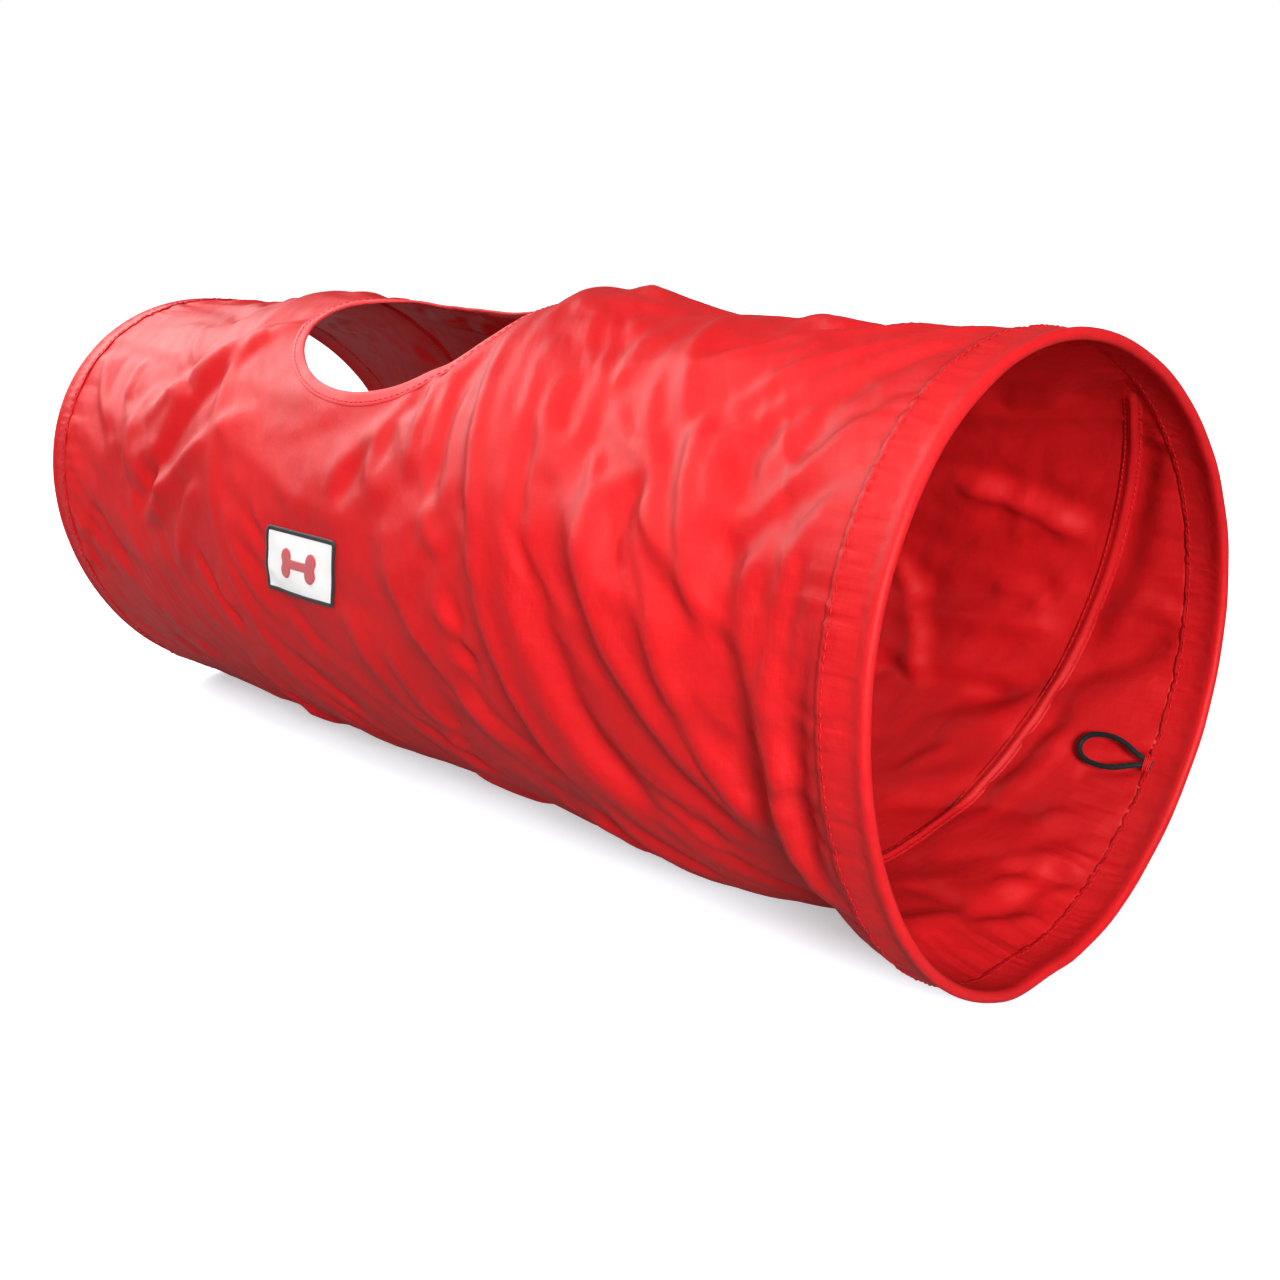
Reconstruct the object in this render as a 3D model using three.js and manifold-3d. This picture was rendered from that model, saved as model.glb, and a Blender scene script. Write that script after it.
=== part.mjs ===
// Small collapsible play tunnel: a cloth tube held open by two wire end rings and one wire spiral.
// Units are millimetres. X runs along the tunnel (the front opening faces +X), Z is up, floor at Z = 0.
import * as THREE from 'three';
import { mergeVertices } from 'three/addons/utils/BufferGeometryUtils.js';
import Module from 'manifold-3d';

// ---------------------------------------------------------------- driving dimensions
const LENGTH = 620;              // over both rims, tunnel open
const RING_RADIUS = 122.5;       // mean radius of the end-ring wire's centre line
const STATIONS = 36;             // straight facets around the tube
const EGG = [-0.0098, -0.0373, -0.0101, -0.0163];   // cos2, sin2, cos3, sin3 parts of the ring outline

const ROLL_RADIUS = 2.5;         // outside radius of the rolled rim
const HEM_CLOTH = 0.6;           // thickness of the doubled hem cloth
const HEM_WIDTH = 18;            // rim to stitch line
const HEM_TAPER = 8.5;           // ring wire to where the inner ply has come down from the roll
const HEM_INNER_PLY = { taper: -1.0, stitch: -0.4 };   // its offsets there and at the stitch line
const RING_WIRE_RADIUS = 0.8;
const FERRULE = { bore: 1.0, outside: 1.45, length: 14 };

const CLOTH_INNER = 0.5;         // offsets outwards from the ring wire's centre line
const CLOTH_OUTER = 1.3;
const CLOTH_TUCK = 7;            // how far the tube reaches into each hem
const BAYS = 3;
const BAY_STEPS = 7;
const CUT = 0.3;                 // clearance between neighbouring bays

const SPIRAL_PITCH = 230;        // advance for one turn
const SPIRAL_START_ANGLE = 36;   // degrees from the top, where it leaves the front hem
const SPIRAL_END_GAP = 6;        // from a hem's stitch line to the spiral's centre line
const SPIRAL_TRIM = 0.2;         // degrees left clear at each cut between bays
const SPIRAL_WIRE = { radius: 0.8, offset: -1.5, sides: 6 };
const CASING = { gap: 0.7, flange: 4, mouth: 1.6, crown: 1.3, wall: 0.5, depth: -2.7, cloth: 0.4 };

const HOLE = { x: -12, angle: -24, halfLength: 78, halfWidth: 52, segments: 36 };
const PLUG_REACH = 9;            // how far the cutter for the hole stands clear of the cloth
const BINDING = { width: 6, cloth: 0.6, gap: 1.1, edge: 0.6 };

const LABEL = { x: -24, angle: 273, length: 60, height: 34, skew: 9, gap: 0.3, cloth: 0.4 };
const LABEL_EDGE = { width: 2.4, height: 1.2 };
const MOTIF = { length: 30, knob: 3.4, thickness: 0.4 };

const TIE_ANGLE = 122;           // degrees from the top, loop at the front hem and button at the rear
const LOOP = { cord: 1.3, length: 32, halfWidth: 7, legs: 1.7, offset: -4.4, sides: 8 };
const BUTTON = { inset: 13.5, radius: 5, thickness: 2.4, offset: -7, dish: 0.7, rim: 1.1 };
const BUTTON_THREAD = { radius: 1.8, base: -1.3, gap: 0.2 };

// How far the cloth stands off the plain tube: centre x, centre angle, amount, reach along x, reach in degrees.
const SWELLS = [
  [84, -14, 12, 44, 34],         // full fold in front of the peek hole
  [-120, -12, 7, 60, 38],        // crown behind the peek hole
  [246, 222, -10, 36, 62],       // cloth drawn in behind the front hem
  [206, 60, -4, 46, 60],         // slight hollow on the far side
];

const RED = 0xd3141d;
const DARK_RED = 0xb50f18;
const STEEL = 0xaeb3b8;
const END_X = LENGTH / 2;
const RING_X = END_X - ROLL_RADIUS;
const STITCH_X = END_X - HEM_WIDTH;
const STEP_ANGLE = 360 / STATIONS;

// ---------------------------------------------------------------- the tube's outline
const radians = (degrees) => (degrees * Math.PI) / 180;

/** Ring outline points (y, z) about the tube's axis, with a straight chord along the bottom. */
function ringOutline() {
  const points = [];
  for (let i = 0; i < STATIONS; i += 1) {
    const a = radians(i * STEP_ANGLE);
    const wave = EGG[0] * Math.cos(2 * a) + EGG[1] * Math.sin(2 * a)
      + EGG[2] * Math.cos(3 * a) + EGG[3] * Math.sin(3 * a);
    const r = RING_RADIUS * (1 + wave);
    points.push(new THREE.Vector2(r * Math.sin(a), r * Math.cos(a)));
  }
  const bottom = STATIONS / 2;
  const floor = Math.max(points[bottom - 1].y, points[bottom + 1].y);
  for (const p of points) {
    p.y = Math.max(p.y, floor);
  }
  return points;
}

/** For every outline point, the step that moves both neighbouring facets outwards by 1 mm. */
function mitres(points) {
  return points.map((p, i) => {
    const before = points[(i + STATIONS - 1) % STATIONS];
    const after = points[(i + 1) % STATIONS];
    const n1 = new THREE.Vector2(before.y - p.y, p.x - before.x).normalize();
    const n2 = new THREE.Vector2(p.y - after.y, after.x - p.x).normalize();
    const share = 1 / (1 + n1.dot(n2));
    return n1.add(n2).multiplyScalar(share);
  });
}

const OUTLINE = ringOutline();
const MITRE = mitres(OUTLINE);
const AXIS_Z = ROLL_RADIUS - Math.min(...OUTLINE.map((p) => p.y));
const WIDEST = OUTLINE.map((p) => p.x);
const AXIS_Y = -(Math.min(...WIDEST) + Math.max(...WIDEST)) / 2;   // puts Y = 0 midway across the tube

/** Shortest turn between two directions, in degrees. */
function turnBetween(a, b) {
  return Math.abs(((a - b) % 360 + 540) % 360 - 180);
}

/** How far the cloth stands off the plain tube at one outline station. Nil from the stitch lines outwards. */
function swell(x, angle) {
  const inboard = Math.max(0, STITCH_X - Math.abs(x));
  const ease = Math.min(1, inboard / 30);
  let sum = 0;
  for (const [cx, ca, amount, reachX, reachA] of SWELLS) {
    const u = (x - cx) / reachX;
    const v = turnBetween(angle, ca) / reachA;
    sum += amount * Math.exp(-u * u - v * v);
  }
  return sum * ease;
}

const GRID_X = (2 * STITCH_X) / BAYS / BAY_STEPS;

/** Offset of the cloth along x, straight between the grid lines the bays are built on. */
function swellOnGrid(x, station) {
  const u = (x + STITCH_X) / GRID_X;
  const i = Math.floor(u);
  const x0 = -STITCH_X + i * GRID_X;
  const a = station * STEP_ANGLE;
  return THREE.MathUtils.lerp(swell(x0, a), swell(x0 + GRID_X, a), u - i);
}

/** Point on the tube at x and angle (degrees from the top towards +Y), offset outwards from the ring wire. */
function onTube(x, angle, offset) {
  const turn = ((angle % 360) + 360) % 360 / STEP_ANGLE;
  const i = Math.floor(turn) % STATIONS;
  const j = (i + 1) % STATIONS;
  const at = (k) => OUTLINE[k].clone().addScaledVector(MITRE[k], offset + swellOnGrid(x, k));
  const p = at(i).lerp(at(j), turn - Math.floor(turn));
  return new THREE.Vector3(x, p.x + AXIS_Y, p.y + AXIS_Z);
}

// ---------------------------------------------------------------- solids from loops
/** Closed solid through a list of equal loops; the ends are joined, or capped when `ring` is false. */
function loft(loops, ring) {
  const size = loops[0].length;
  const positions = loops.flat().flatMap((p) => [p.x, p.y, p.z]);
  const index = [];
  const last = ring ? loops.length : loops.length - 1;
  for (let i = 0; i < last; i += 1) {
    const a = i * size;
    const b = ((i + 1) % loops.length) * size;
    for (let k = 0; k < size; k += 1) {
      const n = (k + 1) % size;
      index.push(a + k, b + k, b + n, a + k, b + n, a + n);
    }
  }
  return { positions, index, size, count: loops.length };
}

function toGeometry(positions, index) {
  const geometry = new THREE.BufferGeometry();
  geometry.setAttribute('position', new THREE.Float32BufferAttribute(positions, 3));
  geometry.setIndex(index);
  return faceOutwards(geometry);
}

function signedVolume(geometry) {
  const p = geometry.attributes.position;
  const index = geometry.index.array;
  const [a, b, c] = [new THREE.Vector3(), new THREE.Vector3(), new THREE.Vector3()];
  let sum = 0;
  for (let i = 0; i < index.length; i += 3) {
    a.fromBufferAttribute(p, index[i]);
    b.fromBufferAttribute(p, index[i + 1]);
    c.fromBufferAttribute(p, index[i + 2]);
    sum += a.dot(b.cross(c)) / 6;
  }
  return sum;
}

function faceOutwards(geometry) {
  if (signedVolume(geometry) < 0) {
    const index = geometry.index.array;
    for (let i = 0; i < index.length; i += 3) {
      [index[i + 1], index[i + 2]] = [index[i + 2], index[i + 1]];
    }
  }
  return geometry;
}

/** Sweep a profile right round the tube; the profile is a list of [x, offset]. */
function aroundTube(profile) {
  const loops = [];
  for (let i = 0; i < STATIONS; i += 1) {
    loops.push(profile.map(([x, offset]) => onTube(x, i * STEP_ANGLE, offset)));
  }
  const { positions, index } = loft(loops, true);
  return toGeometry(positions, index);
}

/** Sweep a profile along an open run of loops, capped flat at both ends. */
function openSweep(loops, profile) {
  const { positions, index, size, count } = loft(loops, false);
  const outline = profile.map(([u, v]) => new THREE.Vector2(u, v));
  const cap = THREE.ShapeUtils.triangulateShape(outline, []);
  const walls = new Set();
  for (let i = 0; i < index.length; i += 3) {
    walls.add(`${index[i]}_${index[i + 1]}`);
    walls.add(`${index[i + 1]}_${index[i + 2]}`);
    walls.add(`${index[i + 2]}_${index[i]}`);
  }
  for (const base of [0, (count - 1) * size]) {
    const sides = ([a, b, c]) => [[a, b], [b, c], [c, a]];
    const taken = ([p, q]) => walls.has(`${base + p}_${base + q}`);
    const turned = cap.some((face) => sides(face).some(taken));
    for (const [a, b, c] of cap) {
      index.push(base + a, base + (turned ? c : b), base + (turned ? b : c));
    }
  }
  return toGeometry(positions, index);
}

function circle(radius, sides, u = 0, v = 0) {
  const points = [];
  for (let i = 0; i < sides; i += 1) {
    const a = (2 * Math.PI * (i + 0.5)) / sides;
    points.push([u + radius * Math.cos(a), v + radius * Math.sin(a)]);
  }
  return points;
}

function piece(name, geometry, color, roughness, metalness = 0) {
  const material = new THREE.MeshStandardMaterial({ color, roughness, metalness });
  const mesh = new THREE.Mesh(geometry, material);
  mesh.name = name;
  return mesh;
}

const cloth = (name, geometry, color = RED) => piece(name, geometry, color, 0.62);
const steel = (name, geometry) => piece(name, geometry, STEEL, 0.35, 1);

// ---------------------------------------------------------------- end rings and hems
/** Half circle of the rolled rim, from the outer ply round to the inner ply. */
function rollArc(radius, side) {
  return [90, 45, 0, -45, -90].map((a) => [
    side * (RING_X + radius * Math.cos(radians(a))), radius * Math.sin(radians(a))]);
}

/** Hem: outer ply, roll over the ring wire, inner ply coming down to the cloth at the stitch line. */
function hem(name, side) {
  const inside = ROLL_RADIUS - HEM_CLOTH;
  const taperX = side * (RING_X - HEM_TAPER);
  const stitchX = side * STITCH_X;
  const { taper, stitch } = HEM_INNER_PLY;
  const profile = [
    [stitchX, ROLL_RADIUS],
    ...rollArc(ROLL_RADIUS, side),
    [taperX, taper],
    [stitchX, stitch],
    [stitchX, stitch + HEM_CLOTH],
    [taperX, taper + HEM_CLOTH],
    ...rollArc(inside, side).reverse(),
    [stitchX, inside],
  ];
  return cloth(name, aroundTube(profile));
}

function ringWire(name, side) {
  return steel(name, aroundTube(circle(RING_WIRE_RADIUS, 6, side * RING_X, 0)));
}

/** Sleeve that joins the two ends of a ring wire, on the straight bottom chord. */
function ringFerrule(name, side) {
  const shape = new THREE.Shape();
  shape.absarc(0, 0, FERRULE.outside, 0, 2 * Math.PI, false);
  const bore = new THREE.Path();
  bore.absarc(0, 0, FERRULE.bore, 0, 2 * Math.PI, true);
  shape.holes.push(bore);
  const geometry = new THREE.ExtrudeGeometry(shape, {
    depth: FERRULE.length, bevelEnabled: false, curveSegments: 6,
  });
  geometry.translate(0, 0, -FERRULE.length / 2);
  geometry.rotateX(Math.PI / 2);
  geometry.translate(side * RING_X, AXIS_Y, ROLL_RADIUS);
  return piece(name, geometry, 0x8d9297, 0.45, 1);
}

// ---------------------------------------------------------------- cloth tube
const bayEnd = (k) => STITCH_X - k * GRID_X * BAY_STEPS;

/** One third of the tube. The outer two reach on past the stitch line, between the plies of a hem. */
function clothBay(k) {
  const first = k === 0 ? [STITCH_X + CLOTH_TUCK, STITCH_X] : [bayEnd(k) - CUT / 2];
  const last = k === BAYS - 1 ? [-STITCH_X, -STITCH_X - CLOTH_TUCK] : [bayEnd(k + 1) + CUT / 2];
  const between = Array.from({ length: BAY_STEPS - 1 }, (_, i) => bayEnd(k) - (i + 1) * GRID_X);
  const xs = [...first, ...between, ...last];
  const outer = xs.map((x) => [x, CLOTH_OUTER]);
  const inner = xs.map((x) => [x, CLOTH_INNER]).reverse();
  return aroundTube([...outer, ...inner]);
}

/** Point at distance d outside the peek hole's edge. */
function besideHole(t, d, offset) {
  const nx = Math.cos(t) / HOLE.halfLength;
  const ns = Math.sin(t) / HOLE.halfWidth;
  const n = Math.hypot(nx, ns);
  const x = HOLE.x + HOLE.halfLength * Math.cos(t) + (d * nx) / n;
  const s = HOLE.halfWidth * Math.sin(t) + (d * ns) / n;
  return onTube(x, HOLE.angle + THREE.MathUtils.radToDeg(s / RING_RADIUS), offset);
}

function holeTurns() {
  return Array.from({ length: HOLE.segments }, (_, i) => (2 * Math.PI * i) / HOLE.segments);
}

/** Plug with the hole's outline, standing well clear of both faces of the cloth. */
function holePlug() {
  const turns = holeTurns();
  const rim = [PLUG_REACH, -PLUG_REACH].map((offset) => turns.map((t) => besideHole(t, 0, offset)));
  const { positions, index } = loft(rim, false);
  const n = HOLE.segments;
  [PLUG_REACH, -PLUG_REACH].forEach((offset, side) => {
    const centre = positions.length / 3;
    const c = onTube(HOLE.x, HOLE.angle, offset);
    positions.push(c.x, c.y, c.z);
    for (let i = 0; i < n; i += 1) {
      const a = side * n + i;
      const b = side * n + ((i + 1) % n);
      index.push(...(side === 0 ? [centre, a, b] : [centre, b, a]));
    }
  });
  return toGeometry(positions, index);
}

function binding() {
  const high = CLOTH_OUTER + BINDING.gap;
  const low = CLOTH_INNER - BINDING.gap;
  const out = BINDING.edge + BINDING.cloth;
  const profile = [
    [BINDING.width, high + BINDING.cloth],
    [-out, high + BINDING.cloth],
    [-out, low - BINDING.cloth],
    [BINDING.width, low - BINDING.cloth],
    [BINDING.width, low],
    [-BINDING.edge, low],
    [-BINDING.edge, high],
    [BINDING.width, high],
  ];
  const loops = holeTurns().map((t) => profile.map(([d, offset]) => besideHole(t, d, offset)));
  const { positions, index } = loft(loops, true);
  return cloth('peek_hole_binding', toGeometry(positions, index), 0xdb1a24);
}

// ---------------------------------------------------------------- wire spiral and its casing
const SPIRAL_FRONT_X = STITCH_X - SPIRAL_END_GAP;
const spiralAngle = (x) => SPIRAL_START_ANGLE + ((SPIRAL_FRONT_X - x) / SPIRAL_PITCH) * 360;
const spiralX = (angle) => SPIRAL_FRONT_X - ((angle - SPIRAL_START_ANGLE) / 360) * SPIRAL_PITCH;

/** Angles at which a bay's share of the spiral is cut: its two ends and every tube facet between. */
function spiralStops(k) {
  const first = k === 0 ? spiralAngle(SPIRAL_FRONT_X) : spiralAngle(bayEnd(k)) + SPIRAL_TRIM;
  const last = k === BAYS - 1 ? spiralAngle(-SPIRAL_FRONT_X) : spiralAngle(bayEnd(k + 1)) - SPIRAL_TRIM;
  const stops = [first];
  for (let i = Math.floor(first / STEP_ANGLE) + 1; i * STEP_ANGLE < last; i += 1) {
    if (i * STEP_ANGLE - first > 1 && last - i * STEP_ANGLE > 1) {
      stops.push(i * STEP_ANGLE);
    }
  }
  stops.push(last);
  return stops;
}

function alongSpiral(k, profile) {
  const loops = spiralStops(k).map((angle) => profile.map(
    ([dx, offset]) => onTube(spiralX(angle) + dx, angle, offset)));
  return openSweep(loops, profile);
}

function spiralWire(k) {
  const profile = circle(SPIRAL_WIRE.radius, SPIRAL_WIRE.sides, 0, SPIRAL_WIRE.offset);
  return steel(`spiral_wire_${k + 1}`, alongSpiral(k, profile));
}

/** Cloth channel that holds the wire against the tube: two sewn flanges and a raised crown. */
function spiralCasing(k) {
  const { gap, flange, mouth, crown, wall, depth, cloth: thick } = CASING;
  const top = CLOTH_INNER - gap;
  const right = [
    [mouth, top], [flange, top], [flange, top - thick], [mouth + wall, top - thick],
    [crown + wall, depth - wall],
  ];
  const left = right.map(([u, v]) => [-u, v]).reverse();
  const profile = [[crown, depth], ...right, ...left, [-crown, depth]];
  return cloth(`spiral_casing_${k + 1}`, alongSpiral(k, profile), DARK_RED);
}

// ---------------------------------------------------------------- label
/** Point of the label: u along the tunnel, v down its height, both from the label's middle. */
function onLabel(u, v, offset) {
  const x = LABEL.x - u - (LABEL.skew * v) / LABEL.height;
  return onTube(x, LABEL.angle - THREE.MathUtils.radToDeg(v / RING_RADIUS), offset);
}

/** Outline of a rectangle, walked in short steps. */
function rectangle(length, height, stepsU, stepsV) {
  const corners = [[-1, -1], [1, -1], [1, 1], [-1, 1]];
  const points = [];
  corners.forEach(([a, b], i) => {
    const [c, d] = corners[(i + 1) % 4];
    const steps = i % 2 === 0 ? stepsU : stepsV;
    for (let k = 0; k < steps; k += 1) {
      const t = k / steps;
      points.push([((a + (c - a) * t) * length) / 2, ((b + (d - b) * t) * height) / 2]);
    }
  });
  return points;
}

/** Sheet draped on the label's place, built as rows from the front edge to the rear edge. */
function labelPatch() {
  const length = LABEL.length - 2 * (LABEL_EDGE.width + LABEL.gap);
  const height = LABEL.height - 2 * (LABEL_EDGE.width + LABEL.gap);
  const low = CLOTH_OUTER + LABEL.gap;
  const rows = 8;
  const columns = 4;
  const loops = [];
  for (let i = 0; i <= rows; i += 1) {
    const v = (i / rows - 0.5) * height;
    const line = Array.from({ length: columns + 1 }, (_, k) => (k / columns - 0.5) * length);
    loops.push([
      ...line.map((u) => onLabel(u, v, low)),
      ...line.reverse().map((u) => onLabel(u, v, low + LABEL.cloth)),
    ]);
  }
  const profile = [];
  for (let k = 0; k <= columns; k += 1) {
    profile.push([k, 0]);
  }
  for (let k = columns; k >= 0; k -= 1) {
    profile.push([k, 1]);
  }
  return piece('label_patch', openSweep(loops, profile), 0xf1efe9, 0.8);
}

/** Overlocked edge of the label: a raised band round the patch. */
function labelBorder() {
  const low = CLOTH_OUTER + LABEL.gap;
  const w = LABEL_EDGE.width;
  const section = [[0, 0], [w, 0], [w * 0.8, LABEL_EDGE.height], [w * 0.2, LABEL_EDGE.height]];
  const loops = section.map(([inset, h]) => rectangle(
    LABEL.length - 2 * inset, LABEL.height - 2 * inset, 6, 8).map(([u, v]) => onLabel(u, v, low + h)));
  const { positions, index } = loft(loops, true);
  return piece('label_border', toGeometry(positions, index), 0x151515, 0.75);
}

/** A plain bone shape, standing in for whatever a maker would print. */
function labelMotif() {
  const half = MOTIF.length / 2 - MOTIF.knob;
  const outline = [];
  const lobe = (cu, cv, from, to) => {
    for (let i = 0; i <= 4; i += 1) {
      const a = radians(from + ((to - from) * i) / 4);
      outline.push([cu + MOTIF.knob * Math.cos(a), cv + MOTIF.knob * Math.sin(a)]);
    }
  };
  const rise = MOTIF.knob * 0.85;
  lobe(half, rise, 200, -30);
  lobe(half, -rise, 30, -200);
  lobe(-half, -rise, 20, -210);
  lobe(-half, rise, 210, -20);
  const low = CLOTH_OUTER + 2 * LABEL.gap + LABEL.cloth;
  const loops = [low, low + MOTIF.thickness].map(
    (offset) => outline.map(([u, v]) => onLabel(u, v, offset)));
  return piece('label_motif', openSweep(loops, outline), 0xb81a2b, 0.7);
}

// ---------------------------------------------------------------- tie loop and button
/** Local axes on the tube's inside at the tie: outward normal and the direction round the tube. */
const TIE_OUT = new THREE.Vector3(0, Math.sin(radians(TIE_ANGLE)), Math.cos(radians(TIE_ANGLE)));
const TIE_ROUND = new THREE.Vector3(0, Math.cos(radians(TIE_ANGLE)), -Math.sin(radians(TIE_ANGLE)));

/** Point near the tie: x along the tunnel, s round it, offset outwards from the ring wire. */
function atTie(x, s, offset) {
  const foot = onTube(END_X, TIE_ANGLE, 0);
  return new THREE.Vector3(x, foot.y, foot.z).addScaledVector(TIE_ROUND, s).addScaledVector(TIE_OUT, offset);
}

function tieLoop() {
  const { length, halfWidth, legs } = LOOP;
  const half = [
    [0.5, legs], [0.14 * length, 0.45 * halfWidth], [0.38 * length, 0.88 * halfWidth],
    [0.62 * length, halfWidth], [0.86 * length, 0.74 * halfWidth],
  ];
  const tip = [[length - LOOP.cord, 0]];
  const path = [...half, ...tip, ...half.map(([d, s]) => [d, -s]).reverse()];
  const curve = new THREE.CatmullRomCurve3(path.map(([d, s]) => atTie(STITCH_X - d, s, LOOP.offset)));
  const shape = new THREE.Shape(circle(LOOP.cord, LOOP.sides).map(([u, v]) => new THREE.Vector2(u, v)));
  const geometry = new THREE.ExtrudeGeometry(shape, { steps: 32, bevelEnabled: false, extrudePath: curve });
  return piece('tie_loop', geometry, 0x111112, 0.8);
}

/** Stand a lathed solid on the rear hem at the tie, its own Y axis pointing inwards. */
function standOnRearHem(geometry, offset) {
  const turn = new THREE.Quaternion().setFromUnitVectors(
    new THREE.Vector3(0, 1, 0), TIE_OUT.clone().negate());
  geometry.applyQuaternion(turn);
  const at = atTie(-(END_X - BUTTON.inset), 0, offset);
  geometry.translate(at.x, at.y, at.z);
  return geometry;
}

function tieButton() {
  const { radius, thickness, dish, rim } = BUTTON;
  const profile = [
    [0, 0], [radius - 0.6, 0], [radius, 0.6], [radius, thickness - 0.5], [radius - 0.5, thickness],
    [radius - rim, thickness], [radius - rim - 0.6, thickness - dish], [0, thickness - dish],
  ].map(([r, h]) => new THREE.Vector2(r, h));
  return piece('tie_button', standOnRearHem(new THREE.LatheGeometry(profile, 16), BUTTON.offset), 0x1a1a1c, 0.4);
}

/** Thread shank between the hem and the button. */
function buttonThread() {
  const height = BUTTON_THREAD.base - BUTTON.offset - BUTTON_THREAD.gap;
  const geometry = new THREE.CylinderGeometry(BUTTON_THREAD.radius, BUTTON_THREAD.radius, height, 10);
  geometry.translate(0, height / 2, 0);
  return piece('button_thread', standOnRearHem(geometry, BUTTON_THREAD.base), 0x7d0d14, 0.85);
}

// ---------------------------------------------------------------- booleans
const manifold = await Module();
manifold.setup();

function toManifold(geometry) {
  const bare = geometry.clone();
  bare.deleteAttribute('normal');
  bare.deleteAttribute('uv');
  const merged = mergeVertices(bare, 1e-4);
  return new manifold.Manifold(new manifold.Mesh({
    numProp: 3,
    vertProperties: new Float32Array(merged.attributes.position.array),
    triVerts: new Uint32Array(merged.index.array),
  }));
}

function fromManifold(solid) {
  const mesh = solid.getMesh();
  return toGeometry(Array.from(mesh.vertProperties), Array.from(mesh.triVerts));
}

// ---------------------------------------------------------------- assembly
const tunnel = new THREE.Group();
tunnel.name = 'agility_tunnel';

for (const [end, side] of [['front', 1], ['rear', -1]]) {
  tunnel.add(ringWire(`${end}_ring_wire`, side));
  tunnel.add(ringFerrule(`${end}_ring_ferrule`, side));
  tunnel.add(hem(`${end}_hem`, side));
}

for (let k = 0; k < BAYS; k += 1) {
  const plain = clothBay(k);
  const hasHole = k === 1;
  const shape = hasHole ? fromManifold(toManifold(plain).subtract(toManifold(holePlug()))) : plain;
  tunnel.add(cloth(`cloth_bay_${k + 1}`, shape));
  tunnel.add(spiralWire(k));
  tunnel.add(spiralCasing(k));
}

tunnel.add(binding());
tunnel.add(labelPatch());
tunnel.add(labelBorder());
tunnel.add(labelMotif());
tunnel.add(tieLoop());
tunnel.add(tieButton());
tunnel.add(buttonThread());

export default tunnel;
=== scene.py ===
"""Looks for a small collapsible play tunnel: simulated red taffeta on two wire rings and a wire spiral."""

import math
import random

import bpy
import numpy as np
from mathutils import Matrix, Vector, noise
from mathutils.bvhtree import BVHTree


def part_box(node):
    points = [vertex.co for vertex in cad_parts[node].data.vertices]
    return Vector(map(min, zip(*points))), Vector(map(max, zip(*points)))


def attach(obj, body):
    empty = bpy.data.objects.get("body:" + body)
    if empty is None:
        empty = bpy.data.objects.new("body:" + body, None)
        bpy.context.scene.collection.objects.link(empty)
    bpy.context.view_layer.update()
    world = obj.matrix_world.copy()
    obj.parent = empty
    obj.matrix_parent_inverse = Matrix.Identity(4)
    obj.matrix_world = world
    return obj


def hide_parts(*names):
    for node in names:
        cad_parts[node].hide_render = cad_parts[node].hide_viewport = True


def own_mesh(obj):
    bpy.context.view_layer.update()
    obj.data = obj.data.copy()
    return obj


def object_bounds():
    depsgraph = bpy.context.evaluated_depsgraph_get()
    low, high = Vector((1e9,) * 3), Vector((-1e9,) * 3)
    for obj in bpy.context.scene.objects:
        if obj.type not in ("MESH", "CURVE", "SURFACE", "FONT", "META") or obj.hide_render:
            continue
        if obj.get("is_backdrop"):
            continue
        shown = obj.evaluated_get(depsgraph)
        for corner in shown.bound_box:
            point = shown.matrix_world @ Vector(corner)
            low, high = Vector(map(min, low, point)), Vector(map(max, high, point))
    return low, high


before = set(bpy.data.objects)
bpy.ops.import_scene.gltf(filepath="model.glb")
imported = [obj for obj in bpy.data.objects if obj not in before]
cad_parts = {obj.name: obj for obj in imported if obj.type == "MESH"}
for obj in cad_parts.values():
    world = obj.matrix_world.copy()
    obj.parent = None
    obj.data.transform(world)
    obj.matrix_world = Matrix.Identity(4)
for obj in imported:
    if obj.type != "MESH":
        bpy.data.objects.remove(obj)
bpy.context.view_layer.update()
MM = 0.001
TURN = 2 * math.pi

# ---------------------------------------------------------------- driving sizes, in metres
CLOTH_THICK = 0.4 * MM
CLOTH_OFFSET = 1.5 * MM          # cloth's middle, outwards from the ring wire's centre line
CELL = 4.2 * MM                  # simulated cloth grid
TWIST = math.radians(6)          # cloth at each end is cut turned by this, which draws slanting folds
HOOP_SLACK = 0.008               # spare cloth round the tube, as a share
AXIAL_SLACK = 0.010              # and along it
SIM_FRAMES = 24
BINDING_WIDTH = 6 * MM           # as in the CAD
SPIRAL_HOLD = 4 * MM             # cloth this close to the spiral is sewn to it

# Broad shape of the cloth off the plain tube: x, angle from the top, height, reach along x, reach round it
# (mm and degrees).
SWELLS = [
    (104, -16, 12.5, 40, 32),
    (150, -12, -3, 12, 30),
    (200, -6, 5.5, 46, 42),
    (-120, -12, 7, 60, 38),
    (246, 222, -10, 36, 62),
    (206, 60, -4, 46, 60),
    (70, 226, -6, 150, 46),
]

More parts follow.
